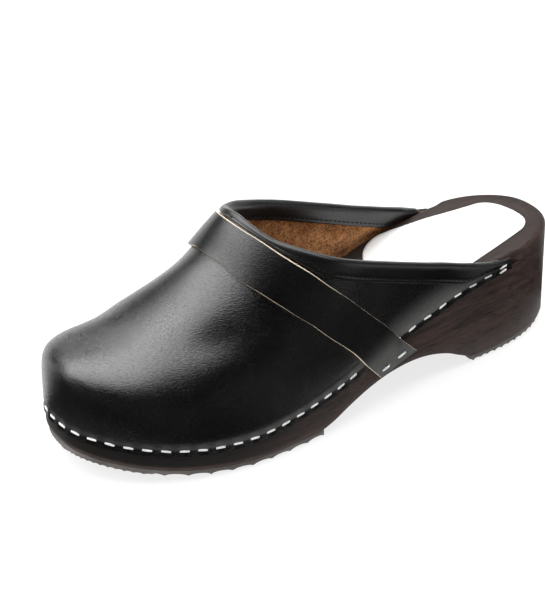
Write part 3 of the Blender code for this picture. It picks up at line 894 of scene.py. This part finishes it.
# %% Ribs of the treads
Tread = namedtuple("Tread", "start end pitch depth toe_ribs")
RUBBER_INSET = 0.8
FORE_TREAD = Tread(149.0, LENGTH - RUBBER_INSET, 9.5, 1.3, True)
HEEL_TREAD = Tread(RUBBER_INSET, 60.0, 4.4, 1.2, False)
TOE_RIBS_FROM = 228.0
TOE_RIBS_TO = 230.0
TOE_PITCH = 2.4
TOE_DEPTH = 0.7
TIP_WIDTH = 20.0
SIDE_ROWS = 5
FLOOR_ROWS = 181


def hollow(place, pitch):
    """Depth from 0 on a ridge to 1 in the middle of the hollow."""
    phase = np.mod(place, pitch) / pitch
    return np.sqrt(np.maximum(1 - (2 * phase - 1) ** 2, 0.0))


def tread_depth(tread, station, y):
    """Depth of the hollows over the slab's lower face."""
    cross = tread.depth * hollow(station - tread.start, tread.pitch)
    if not tread.toe_ribs:
        return cross
    toe = smoothstep((station - TOE_RIBS_FROM) / (TOE_RIBS_TO - TOE_RIBS_FROM))
    return blend(cross, TOE_DEPTH * hollow(y, TOE_PITCH), toe)


def tread_loop(tread, station):
    """Rows of points round the section: outer side, lower face, inner side, and back over the top."""
    source = np.clip((station - RUBBER_INSET) * LENGTH / (LENGTH - 2 * RUBBER_INSET), 0.0, LENGTH)
    outer = half_width(source, 1.0)
    inner = -half_width(source, -1.0)
    outer = outer - RUBBER_INSET * np.minimum(outer / TIP_WIDTH, 1.0)
    inner = inner + RUBBER_INSET * np.minimum(-inner / TIP_WIDTH, 1.0)
    x = station - HALF_LENGTH
    top = underside(station) - CLEARANCE
    rest = top + CLEARANCE - RUBBER_THICK

    def row(y, share):
        return np.stack([x, y, blend(top, rest + tread_depth(tread, station, y), share)], -1)

    rows = [row(outer, share) for share in np.linspace(0.0, 1.0, SIDE_ROWS)[:-1]]
    rows += [row(blend(outer, inner, share), 1.0) for share in np.linspace(0.0, 1.0, FLOOR_ROWS)]
    rows += [row(inner, share) for share in np.linspace(1.0, 0.0, SIDE_ROWS)[1:]]
    return np.array(rows + rows[:1])


print("rib pitches in millimetres:", FORE_TREAD.pitch, HEEL_TREAD.pitch)

# %% Treads
RIB_STEP = 0.6
for name, node, tread in (
    ("forefoot_tread", "outsole_forefoot", FORE_TREAD),
    ("heel_tread", "outsole_heel", HEEL_TREAD),
):
    count = round((tread.end - tread.start) / RIB_STEP)
    turns = np.linspace(turn_of(tread.start), turn_of(tread.end), count)
    rows = tread_loop(tread, station_of(turns))
    mesh = bmesh.new()
    sheet(mesh, count, len(rows), lambda i, j: rows[j, i])
    close(mesh)
    piece = piece_of(mesh, name, [tread_rubber], [node])
    piece.data.set_sharp_from_angle(angle=SHARP_ANGLE)

# %% [markdown]
# ## Staples
# Steel staples hold the leather to the sole all the way round. Their places are worked out before the
# leather, because each one pulls a small dent into it. They stand at an even pitch along the feather line,
# measured from the middle of the toe, and wider apart behind the strap.

# %% Places of the staples
STAPLE_ACROSS = 1.43
FRONT_FIRST = {1.0: 1.3, -1.0: 6.6}
FRONT_PITCH = 7.92
FRONT_LAST = 146.0
REAR_PITCH = 9.13
REAR_FIRST = 172.2
REAR_LAST = 238.0
DOUBLE_ACROSS = (1.38, 1.6)
STRAP_STAPLES = ((113.9, 2.21), (104.3, 2.17))
LINE_POINTS = 2000
LINE_END = 40.5
Staple = namedtuple("Staple", "station across on_strap")


def run_along(line):
    """Distance from the start of a line of points to each of them."""
    return np.concatenate([[0.0], np.cumsum(np.linalg.norm(np.diff(line, axis=0), axis=1))])


line_stations = station_of(np.linspace(pi, turn_of(LINE_END), LINE_POINTS))
staples = []
for side in (1.0, -1.0):
    run = run_along(shell(line_stations, side * STAPLE_ACROSS))
    front = np.arange(FRONT_FIRST[side], FRONT_LAST, FRONT_PITCH)
    rear = np.arange(REAR_FIRST, min(REAR_LAST, run[-1]), REAR_PITCH)
    places = np.interp(np.concatenate([front, rear]), run, line_stations)
    staples += [Staple(station, side * STAPLE_ACROSS, False) for station in places[:-1]]
    staples += [Staple(places[-1], side * across, False) for across in DOUBLE_ACROSS]
    staples += [Staple(station, side * across, True) for station, across in STRAP_STAPLES]
staple_station = np.array([staple.station for staple in staples])
staple_across = np.array([staple.across for staple in staples])
staple_spots = shell(staple_station, staple_across)
print("staples:", len(staples))

# %% [markdown]
# ## Leather upper
# The vamp is one hide pulled over the last, with low wings that run back along the rim. Two grids, one for
# each side, meet on the ridge and the toe. Relief is then pushed along the normals: a dent at each staple,
# a slight wave of the lower edge between staples, soft creases where the foot bends, and a slow unevenness.

# %% Grid of the upper
collar_lateral, collar_medial = curves(COLLAR)


def collar_rise(station, side):
    """Rise of the topline: 1 from the throat forward, below 0 where the wing's end dips under the rim."""
    along = np.sqrt(np.maximum((THROAT - station) / (THROAT - WING_END), 0.0))
    share = np.where(np.asarray(side) > 0, collar_lateral(along), collar_medial(along))
    rise = np.arcsin(np.clip(share, 0.0, 1.0) ** (wall_power(station) / 2)) * 2 / pi
    dip = share * (roof_height(station) - rim_height(station) - FEATHER_LIFT) / SKIRT_UNIT
    return np.where(station >= THROAT, 1.0, np.where(share < 0, dip, rise))


REAR_COLUMNS = 100
FRONT_COLUMNS = 112
REAR_SPREAD = 1.5
rear_shares = (1 - np.arange(REAR_COLUMNS) / REAR_COLUMNS) ** REAR_SPREAD
rear_stations = THROAT - (THROAT - WING_END) * rear_shares
front_stations = station_of(np.linspace(turn_of(THROAT), pi, FRONT_COLUMNS))
upper_stations = np.concatenate([rear_stations, front_stations])
SKIRT_ROWS = 9
RISE_ROWS = 44
RISE_SPREAD = 1.1
SKIRT_LOW = 1 + SKIRT / SKIRT_UNIT
WING_EDGE = 0.08
skirt_shares = np.linspace(0.0, 1.0, SKIRT_ROWS)
rise_shares = np.linspace(0.0, 1.0, RISE_ROWS + 1)[1:] ** RISE_SPREAD


def upper_place(i, j, side):
    """Point of the upper: first the skirt that laps the sole, then the rise to the topline or the ridge."""
    station = upper_stations[i]
    top = 1 - collar_rise(station, side)
    feather = np.maximum(1.0, top + WING_EDGE)
    skirt = blend(SKIRT_LOW, feather, skirt_shares[np.minimum(j, SKIRT_ROWS - 1)])
    wall_across = blend(feather, top, rise_shares[np.maximum(j - SKIRT_ROWS, 0)])
    return shell(station, side * np.where(j < SKIRT_ROWS, skirt, wall_across))


mesh = bmesh.new()
strain_and_sheen = mesh.verts.layers.float.new("strain_and_sheen")
for side in (1.0, -1.0):
    sheet(mesh, len(upper_stations), SKIRT_ROWS + RISE_ROWS, lambda i, j: upper_place(i, j, side))
bmesh.ops.remove_doubles(mesh, verts=mesh.verts, dist=MERGE)
face_out(mesh)
print("upper grid:", len(mesh.verts), "vertices")

# %% Dents, creases and unevenness
DENT_DEPTH = 0.42
DENT_REACH = 1.9
EDGE_WAVE = 0.22
WAVE_FROM = 0.5
WAVE_REACH = 4.5
SHEEN_BAND_FOOT = 1.2
# Station, height that the strain and its painted highlight reach, strength of both
SHEEN_BANDS = (
    (40, 5.0, 0.2), (58, 10.0, 0.9), (75, 13.0, 1.5), (105, 13.0, 1.5), (140, 7.0, 1.0),
    (180, 6.0, 0.8), (215, 6.0, 0.5), (254, 6.0, 0.4),
)
sheen_band_top, sheen_band_strength = curves(SHEEN_BANDS)
Crease = namedtuple("Crease", "start end depth width")
CREASES = (
    Crease((208, 0.39), (182, 0.485), 1.70, 9.0),
    Crease((216, 0.34), (207, 0.50), 0.07, 1.1),
    Crease((212, 0.36), (204, 0.55), 0.08, 1.2),
    Crease((208, 0.40), (201, 0.58), 0.07, 1.1),
    Crease((199, 0.44), (193, 0.62), 0.06, 1.3),
    Crease((205, -0.30), (196, -0.52), 0.07, 1.3),
    Crease((214, -0.34), (206, -0.52), 0.07, 1.2),
    Crease((196, -0.36), (188, -0.58), 0.08, 1.4),
)
CREASE_POINTS = 9
SHOULDER = 0.6
SHOULDER_WIDTH = 2.2
CREASE_FADE = 0.7
Swell = namedtuple("Swell", "turn shift")
SWELLS = (
    Swell((1 / 7.1, 1 / 11.3, 0.0), 0.0),
    Swell((0.0, 1 / 6.3, -1 / 8.7), 1.3),
    Swell((1 / 12.7, 0.0, -1 / 9.1), 0.4),
)
SWELL_HEIGHT = 0.03


def nearest(spots, targets):
    """Distance from each spot to the nearest target, and how far along the targets that is."""
    gaps = np.linalg.norm(spots[:, None, :] - targets[None, :, :], axis=-1)
    return gaps.min(axis=1), gaps.argmin(axis=1)


def crease_relief(spots, crease):
    """Soft trough with a low shoulder on each side, fading to both ends."""
    share = np.linspace(0.0, 1.0, CREASE_POINTS)
    line = shell(blend(crease.start[0], crease.end[0], share), blend(crease.start[1], crease.end[1], share))
    gap, at = nearest(spots, line)
    fade = np.sin(pi * (at + 1) / (CREASE_POINTS + 1)) ** CREASE_FADE
    trough = np.exp(-((gap / crease.width) ** 2))
    shoulder = np.exp(-((gap / (crease.width * SHOULDER_WIDTH)) ** 2))
    return crease.depth * fade * (SHOULDER * shoulder - trough)


def unevenness(spots):
    """Slow waves of a hide pulled over a last by hand, a tenth of a millimetre high."""
    return SWELL_HEIGHT * sum(np.sin(spots @ np.array(swell.turn) + swell.shift) for swell in SWELLS)


def strain_sheen_band(spots):
    """Strain and painted highlight over the staples' line, and the height over that line."""
    station = spots[:, 0] + HALF_LENGTH
    above = spots[:, 2] - rim_height(station) - FEATHER_LIFT + (STAPLE_ACROSS - 1) * SKIRT_UNIT
    return sheen_band_strength(station) * np.clip(1 - above / sheen_band_top(station), 0.0, 1.0) ** 2, above


spots = millimetres(mesh)
gap, _ = nearest(spots, staple_spots)
relief = -DENT_DEPTH * np.exp(-((gap / DENT_REACH) ** 2))
drop = (rim_height(spots[:, 0] + HALF_LENGTH) + FEATHER_LIFT - spots[:, 2]) / SKIRT
relief += EDGE_WAVE * smoothstep((drop - WAVE_FROM) / (1 - WAVE_FROM)) * smoothstep(gap / WAVE_REACH)
relief += sum(crease_relief(spots, crease) for crease in CREASES) + unevenness(spots) * (drop < 0)
# Painted highlight: a lighter band of strain above the staples, faded out just above their line
sheen_band, above = strain_sheen_band(spots)
sheen_band = sheen_band * smoothstep(above / SHEEN_BAND_FOOT)
mesh.normal_update()
for vert, push, sheen_share in zip(mesh.verts, relief, sheen_band):
    vert.co += vert.normal * float(push) * MM
    vert[strain_and_sheen] = float(sheen_share)
print("relief from", relief.min().round(2), "to", relief.max().round(2), "mm")

# %% Upper
UPPER_WALL = 1.9
UPPER_EDGE = 0.35
upper = piece_of(mesh, "vamp", [vamp_leather, suede, dyed_edge], ["upper"])
wall(upper, UPPER_WALL, INWARD)
round_edges(upper, UPPER_EDGE)

# %% [markdown]
# ## Collar binding
# A strip of thin leather is folded over the topline and stitched through. Its section is a U, laid on both
# faces of the hide, and the stitches pull a groove into each leaf, so that the strip's edge stands up as a
# small roll. The grid is rolled up round that section, and a subdivision surface gives the soft roll.

# %% Leaves of the binding
BINDING_END = 43.5
BINDING_TAPER = 9.0
BINDING_THICK = 1.2
END_THICK = 0.6
BINDING_GAP = 0.5
BINDING_STRIDE = 2
FULL_LEAF = 7.6
LEAST_LEAF = 0.3
STRAP_ROOM = 0.6
STAPLE_ROOM = 2.8
RIM_ROOM = 0.4
STRAP_SAMPLES = 161
strap_rear, strap_front = curves(STRAP)
topline_side = rear_stations[rear_stations > BINDING_END][::BINDING_STRIDE]
topline_station = np.concatenate([topline_side, [THROAT], topline_side[::-1]])
outer_across = 1 - collar_rise(topline_side, 1.0)
inner_across = collar_rise(topline_side, -1.0) - 1
topline_across = np.concatenate([outer_across, [0.0], inner_across[::-1]])
edge = shell(topline_station, topline_across)
normal = shell_normal(topline_station, topline_across)
along = unit(np.gradient(edge, axis=0))
down = unit(np.cross(normal, along))
strap_sides = np.linspace(-1.0, 1.0, STRAP_SAMPLES)
strap_gap, _ = nearest(edge, shell(strap_rear(np.abs(strap_sides)), strap_sides))
height = edge[:, 2] - rim_height(topline_station) - FEATHER_LIFT
outer_leaf = np.minimum(np.minimum(FULL_LEAF, strap_gap - STRAP_ROOM), height + STAPLE_ROOM)
inner_leaf = np.clip(height + RIM_ROOM, LEAST_LEAF, FULL_LEAF)
taper = blend(END_THICK, 1.0, smoothstep((topline_station - BINDING_END) / BINDING_TAPER))[:, None]
print("outer leaf of the binding from", outer_leaf.min().round(1), "to", outer_leaf.max().round(1), "mm")

# %% Section of the binding
STITCH_IN = 2.0
STITCH_SHARE = 0.6
GROOVE = 0.22
GROOVE_HALF = 0.6
LEAF_TIP = 0.75
LEAF_ROLL = 0.4
LEAF_MIDDLE = 0.35
FOLD_TOP = 1.7
FOLD_HALF = 1.1
FOLD_DROP = 0.25
FOLD_SHOULDER = 0.3


def on_shell(distance, offset):
    """Points a distance down from the topline, lifted off the outer face by an offset."""
    spot = walk(topline_station, topline_across, down, distance)
    return shell(*spot) + shell_normal(*spot) * offset


def stitch_depth(leaf):
    """Distance of the stitches from the topline."""
    return np.maximum(leaf - STITCH_IN, leaf * STITCH_SHARE)


def leaf_rows(leaf, base, facing):
    """Rows of one leaf from its free edge to the fold: lower corner, rolled edge, groove and middle."""
    seam = stitch_depth(leaf)
    half = np.minimum(GROOVE_HALF, (leaf - seam) / 2)
    top = base + facing * BINDING_THICK * taper
    return [
        on_shell(leaf, base),
        on_shell(leaf, base + facing * LEAF_TIP * taper),
        on_shell(np.maximum(leaf - LEAF_ROLL, seam + half), top),
        on_shell(seam + half, top),
        on_shell(seam, top - facing * GROOVE * taper),
        on_shell(seam - half, top),
        on_shell(leaf * LEAF_MIDDLE, top),
    ]


lining = -LEATHER_THICK - BINDING_GAP
face = BINDING_GAP
crest = edge - down * FOLD_TOP * taper - normal * LEATHER_THICK / 2
fold_half = FOLD_HALF * taper
binding_rows = leaf_rows(outer_leaf, face, 1.0)
binding_rows.append(edge + normal * (face + BINDING_THICK * taper) - down * FOLD_SHOULDER)
binding_rows.append(crest + normal * fold_half + down * FOLD_DROP)
binding_rows.append(crest - normal * fold_half + down * FOLD_DROP)
binding_rows.append(edge + normal * (lining - BINDING_THICK * taper) - down * FOLD_SHOULDER)
binding_rows += leaf_rows(inner_leaf, lining, -1.0)[::-1]
binding_rows.append(on_shell(inner_leaf * LEAF_MIDDLE, lining))
binding_rows.append(edge - down * CLEARANCE + normal * lining)
binding_rows.append(edge - down * CLEARANCE + normal * face)
binding_rows.append(on_shell(outer_leaf * LEAF_MIDDLE, face))
binding_rows = np.array(binding_rows + binding_rows[:1])
print("rows round the section:", len(binding_rows) - 1)

# %% Collar binding
mesh = bmesh.new()
sheet(mesh, len(edge), len(binding_rows), lambda i, j: binding_rows[j, i])
close(mesh)
binding = piece_of(mesh, "collar_roll", [binding_leather], ["collar_binding"])
ROLL_LEVELS = 2
roll = binding.modifiers.new("roll", "SUBSURF")
roll.levels = ROLL_LEVELS
roll.render_levels = ROLL_LEVELS

# %% [markdown]
# ## Instep strap
# The strap is a plain band of thick leather with raw cut edges, stapled to the wood on both sides. It is a
# grid rolled round the strap's section, and the faces of its cut edges take the finish of undyed hide. The
# rear edge is cut at a slant, so its pale line shows from outside.

# %% Line of the strap
STRAP_THICK = 1.8
STRAP_GAP = 0.35
BRIDGE_TOP = 0.8
BRIDGE_LOW = 1.45
BRIDGE_EASE = 0.3


def strap_station(across, share):
    """Station from the strap's rear edge (0) to its front edge (1), straight below the feather line."""
    reach = np.abs(across)
    fall = np.maximum(reach - 1, 0.0) / (STRAP_END.across - 1)
    rear = strap_rear(np.minimum(reach, 1.0)) + (STRAP_END.rear - STRAP[-1].rear) * fall
    front = strap_front(np.minimum(reach, 1.0)) + (STRAP_END.front - STRAP[-1].front) * fall
    return blend(rear, front, share)


def strap_settle(across):
    """Drop of the strap onto the wood below the leather's lower edge."""
    return PROUD * smoothstep((np.abs(across) - SKIRT_LOW) / (STRAP_END.across - SKIRT_LOW))


def strap_bridge(across, share):
    """Height of the taut strap over the hollow above the feather line."""
    side = np.where(across >= 0, 1.0, -1.0)
    station = strap_station(across, share)
    spot = shell(station, across)
    top = shell(strap_station(side * BRIDGE_TOP, share), side * BRIDGE_TOP)
    low = shell(strap_station(side * BRIDGE_LOW, share), side * BRIDGE_LOW)
    fall = (top[..., 2] - spot[..., 2]) / (top[..., 2] - low[..., 2])
    sag = dot(blend(top, low, fall[..., None]) - spot, shell_normal(station, across))
    lift = (sag + np.hypot(sag, BRIDGE_EASE * np.sin(pi * fall))) / 2
    reach = np.abs(across)
    return np.where((reach > BRIDGE_TOP) & (reach < BRIDGE_LOW), lift, 0.0)


print("strap's stations at the feather line:", strap_station(1.0, np.array([0.0, 1.0])).round(1))

# %% Section of the strap
STRAP_STEPS = 90
DROP_STEPS = 26
STRAP_SPREAD = 1.2
REAR_CUT = 0.03
END_CUT = 0.008
CUT_FROM = 0.4
FACE_COLUMNS = 13
EASE_STEPS = 11
EASE_FALL = 2.0
EASE_FROM = 0.6
EASE_BLEND = 0.25
over_shares = np.linspace(0.0, 1.0, STRAP_STEPS) ** STRAP_SPREAD
strap_half = np.concatenate([np.linspace(STRAP_END.across, 1.0, DROP_STEPS)[:-1], 1 - over_shares])
strap_across = np.concatenate([strap_half, -strap_half[-2::-1]])
section_lift = np.repeat([0.0, STRAP_THICK, 0.0], [FACE_COLUMNS, FACE_COLUMNS, 1])
cut_rows = (FACE_COLUMNS - 1, 2 * FACE_COLUMNS - 1)


def strap_share(row):
    """Share of the strap's width at a row: out along the under face, back along the upper face."""
    reach = np.abs(strap_across)
    if row < FACE_COLUMNS:
        return np.full(len(reach), row / (FACE_COLUMNS - 1))
    cut = blend(REAR_CUT, END_CUT, smoothstep((reach - CUT_FROM) / (1 - CUT_FROM)))
    return blend(1.0, cut, (row - FACE_COLUMNS) / (FACE_COLUMNS - 1)) * (row < 2 * FACE_COLUMNS)


def strap_row(row):
    """One row along the strap, taut over the hollow, settled on the wood, and eased where it bends."""
    share = strap_share(row)
    station = strap_station(strap_across, share)
    lift = STRAP_GAP + strap_bridge(strap_across, share) - strap_settle(strap_across) + section_lift[row]
    spots = shell(station, strap_across) + shell_normal(station, strap_across) * lift[:, None]
    steps = np.arange(-EASE_STEPS, EASE_STEPS + 1)
    weights = np.exp(-((EASE_FALL * steps / EASE_STEPS) ** 2))
    padded = np.pad(spots, ((EASE_STEPS, EASE_STEPS), (0, 0)), mode="edge")
    eased = sum(weight * padded[k:k + len(spots)] for k, weight in enumerate(weights / weights.sum()))
    reach = np.abs(strap_across)
    ease = smoothstep((reach - EASE_FROM) / EASE_BLEND)
    ease = ease * smoothstep((STRAP_END.across - reach) / EASE_BLEND)
    return blend(spots, eased, ease[:, None])


strap_rows = np.array([strap_row(row) for row in range(len(section_lift))])
print("strap section:", strap_rows.shape[0], "rows of", strap_rows.shape[1], "points")

# %% Instep strap
STRAP_SHEEN = 0.55
STAPLE_SHADE_REACH = 2.6
STRAP_EDGE = 0.18
QUAD = 4
mesh = bmesh.new()
strain_and_sheen = mesh.verts.layers.float.new("strain_and_sheen")
rows = sheet(mesh, len(strap_across), len(strap_rows), lambda i, j: strap_rows[j, i])
for face_made in mesh.faces:
    face_made.material_index = int(min(rows[vert] for vert in face_made.verts) in cut_rows)
close(mesh)
for face_made in mesh.faces:
    if len(face_made.verts) > QUAD:
        face_made.material_index = 1
spots = millimetres(mesh)
# Painted highlight of strain along the strap's lower ends, taken out round each staple as painted shade
strap_sheens, _ = strain_sheen_band(spots)
gap, _ = nearest(spots, staple_spots)
staple_shade = np.exp(-((gap / STAPLE_SHADE_REACH) ** 2))
for vert, sheen_share in zip(mesh.verts, strap_sheens * (1 - staple_shade) * STRAP_SHEEN):
    vert[strain_and_sheen] = float(sheen_share)
strap = piece_of(mesh, "strap", [strap_leather, raw_edge], ["instep_strap"])
round_edges(strap, STRAP_EDGE)

# %% [markdown]
# ## Staple wires
# One staple is a short bar, bent down at both ends, with rounded edges. It is modelled once and copied to
# every place, turned to lie along the feather line with the small tilts of hand work.

# %% Shape of one staple
CROWN_LENGTH = 5.5
CROWN_WIDTH = 0.85
CROWN_THICK = 0.7
CROWN_BOW = 0.15
CROWN_SINK = 0.12
CROWN_CUTS = 8
LEG_SHARE = 0.9
LEG_DROP = 0.8
WIRE_ROUND = 0.16
WIRE_SEGMENTS = 2
CORNER_ANGLE = radians(60)
pattern = bmesh.new()
made = bmesh.ops.create_cube(pattern, size=1.0)["verts"]
bmesh.ops.scale(pattern, verts=made, vec=(CROWN_LENGTH, CROWN_WIDTH, CROWN_THICK))
long_edges = [edge for edge in pattern.edges if edge.calc_length() > CROWN_LENGTH / 2]
bmesh.ops.subdivide_edges(pattern, edges=long_edges, cuts=CROWN_CUTS, use_grid_fill=True)
for vert in pattern.verts:
    reach = abs(vert.co.x) / (CROWN_LENGTH / 2)
    vert.co.z -= CROWN_BOW * reach**2 + LEG_DROP * max(reach - LEG_SHARE, 0.0) / (1 - LEG_SHARE)
    vert.co.z += CROWN_THICK / 2 - CROWN_SINK
corners = [edge for edge in pattern.edges if edge.calc_face_angle(0.0) > CORNER_ANGLE]
bmesh.ops.bevel(pattern, geom=corners, offset=WIRE_ROUND, segments=WIRE_SEGMENTS, profile=0.5,
                affect="EDGES", material=-1)
wire = data_of(pattern, "wire")
print("one staple has", len(wire.polygons), "faces")

# %% Staple wires
TILT = radians(5)
SEED = 7


def stamp(mesh, pattern, spot, ahead, out, tilt=0.0):
    """Copies a pattern to a spot, with its X turned ahead and its Z out, and tilted about that."""
    ahead = unit(ahead - out * dot(ahead, out))
    turned = Matrix((ahead, np.cross(out, ahead), out)).transposed().to_4x4()
    place = Matrix.Translation(metres(spot)) @ turned @ Matrix.Rotation(tilt, 4, "Z") @ Matrix.Scale(MM, 4)
    before = len(mesh.verts)
    mesh.from_mesh(pattern)
    mesh.verts.ensure_lookup_table()
    bmesh.ops.transform(mesh, matrix=place, verts=mesh.verts[before:])


shake = Random(SEED)
mesh = bmesh.new()
for staple in staples:
    station, across = np.array(staple.station), np.array(staple.across)
    out = shell_normal(station, across)
    ahead = shell(station + STATION_STEP, across) - shell(station - STATION_STEP, across)
    lap = STRAP_GAP + STRAP_THICK - strap_settle(across) if staple.on_strap else -DENT_DEPTH
    stamp(mesh, wire, shell(station, across) + out * lap, ahead, out, shake.uniform(-TILT, TILT))
piece_of(mesh, "staples", [staple_steel])

# %% [markdown]
# ## Stitches
# A row of dark waxed thread holds each leaf of the binding. Each stitch is a short thread that lies in the
# groove and dips into the leather at both ends.

# %% Stitches
STITCH_PITCH = 2.7
STITCH_LENGTH = 1.9
STITCH_THICK = 0.75
STITCH_SINK = 0.05
STITCH_LEAF = 2.8
pattern = bmesh.new()
made = bmesh.ops.create_uvsphere(pattern, u_segments=8, v_segments=6, radius=0.5)["verts"]
bmesh.ops.rotate(pattern, verts=made, cent=(0, 0, 0), matrix=Matrix.Rotation(pi / 2, 3, "Y"))
bmesh.ops.scale(pattern, verts=made, vec=(STITCH_LENGTH, STITCH_THICK, STITCH_THICK))
thread = data_of(pattern, "thread")
mesh = bmesh.new()
for leaf, base, facing in ((outer_leaf, face, 1.0), (inner_leaf, lining, -1.0)):
    depth = stitch_depth(leaf)
    row = on_shell(depth, base + facing * (BINDING_THICK - GROOVE - STITCH_SINK) * taper)
    ways = (row, np.gradient(row, axis=0), unit(row - on_shell(depth, base)))
    run = run_along(row)
    marks = np.arange(0.0, run[-1], STITCH_PITCH)
    for mark in marks[np.interp(marks, run, leaf) > STITCH_LEAF]:
        spot, ahead, out = ([np.interp(mark, run, way[:, axis]) for axis in range(3)] for way in ways)
        stamp(mesh, thread, np.array(spot), np.array(ahead), unit(np.array(out)))
piece_of(mesh, "stitches", [waxed_thread])

# %% [markdown]
# ## Floor and light
# Black leather shows little but what it reflects, so the light is laid out like a photographer's table.
# Wide soft panels hang overhead in layers, each reaching further forward than the last, so that their
# reflection fades in steps towards its front edge. One panel stands beside the toe and one beside the heel.
# A dim backdrop stands behind, with a bright strip along its foot. A black flag lies in front, a little
# away from the shoe: only reflections see it, and it keeps the walls dark.

# %% Floor and flag
FLOOR_SIZE = 6.0
FLOOR_COLOUR = (0.25, 0.25, 0.25)
FLOOR_GLOW = 0.78
FLAG_COLOUR = (0.01, 0.01, 0.01)
FLAG_NEAR = 14.0
FLAG_FAR = 900.0
FLAG_COLUMNS = 90
FLAG_HEIGHT = 0.5
FLAG_INNER = 237.0
FLAG_INNER_COLUMNS = 30
WHITE = (1.0, 1.0, 1.0, 1.0)


def stage_piece(mesh, name, colour, glow=0.0):
    """Matt sheet of the set, lit from within by its glow."""
    material, tree, _, shader = finish(name, Roughness=0.9, Specular_IOR_Level=0.0)
    dress(tree, shader, Base_Color=(*colour, 1.0), Emission_Color=WHITE, Emission_Strength=glow)
    made = object_of(mesh, name, [material])
    return made


mesh = bmesh.new()
bmesh.ops.create_grid(mesh, x_segments=1, y_segments=1, size=FLOOR_SIZE)
stage_piece(mesh, "pale_floor", FLOOR_COLOUR, FLOOR_GLOW)

outer_stations = station_of(np.linspace(0.0, pi, FLAG_COLUMNS))
inner_stations = np.linspace(LENGTH, FLAG_INNER, FLAG_INNER_COLUMNS)[1:]
flag_stations = np.concatenate([outer_stations, inner_stations])
flag_sides = np.where(np.arange(len(flag_stations)) < FLAG_COLUMNS, 1.0, -1.0)


def flag_place(i, j):
    """Point of the flag, from its edge along the shoe's outline to its far edge."""
    reach = blend(FLAG_NEAR, FLAG_FAR, j)
    spot = outline(flag_stations[i], flag_sides[i], -reach)
    return level(spot, np.full(len(spot), FLAG_HEIGHT))


mesh = bmesh.new()
sheet(mesh, len(flag_stations), 2, flag_place)
flag = stage_piece(mesh, "black_flag", FLAG_COLOUR)
for ray in ("camera", "diffuse", "transmission", "volume_scatter", "shadow"):
    setattr(flag, "visible_" + ray, False)
print("stage pieces: pale_floor and", flag.name)

# %% Light
Panel = namedtuple("Panel", "name place way size radiance")
panels = [
    Panel("toe_side", (1.15, -0.61, 0.54), (-0.88, 0.47, 0), (0.85, 0.72), 2.3),
    Panel("heel_side", (-1.0, 0.78, 0.25), (0.79, -0.61, 0), (0.9, 0.5), 0.9),
    Panel("backdrop", (-0.85, -1.20, 0.36), (0.58, 0.82, 0), (3.0, 0.70), 0.22),
    Panel("horizon", (-0.84, -1.18, 0.08), (0.58, 0.82, 0), (3.0, 0.15), 2.4),
]
OVERHEAD_HEIGHT = 0.95
OVERHEAD_MIDDLE = 0.22
OVERHEAD_LONG = 2.25
OVERHEAD_BACK = -1.05
OVERHEAD_FRONTS = (-0.12, 0.30, 0.42, 0.56)
OVERHEAD_RADIANCE = 1.25
LAYER_GAP = 0.005
SKY_STRENGTH = 0.25
for layer, front in enumerate(OVERHEAD_FRONTS):
    place = (OVERHEAD_MIDDLE, (OVERHEAD_BACK + front) / 2, OVERHEAD_HEIGHT + layer * LAYER_GAP)
    size = (OVERHEAD_LONG, front - OVERHEAD_BACK)
    panels.append(Panel(f"overhead_{layer}", place, (0, 0, -1), size, OVERHEAD_RADIANCE))
for panel in panels:
    data = bpy.data.lights.new(panel.name, "AREA")
    data.shape = "RECTANGLE"
    data.size, data.size_y = panel.size
    data.energy = panel.radiance * pi * panel.size[0] * panel.size[1]
    lamp = bpy.data.objects.new(panel.name, data)
    lamp.location = panel.place
    lamp.rotation_euler = Vector(panel.way).to_track_quat("-Z", "Y").to_euler()
    lamp.visible_camera = False
    bpy.context.scene.collection.objects.link(lamp)

sky = bpy.data.worlds.new("sky")
sky.use_nodes = True
dress(sky.node_tree, sky.node_tree.nodes["Background"], Color=WHITE, Strength=SKY_STRENGTH)
sky.cycles_visibility.glossy = False
bpy.context.scene.world = sky
bpy.context.scene.view_settings.view_transform = "Standard"
print("lights:", [item.name for item in bpy.data.lights])
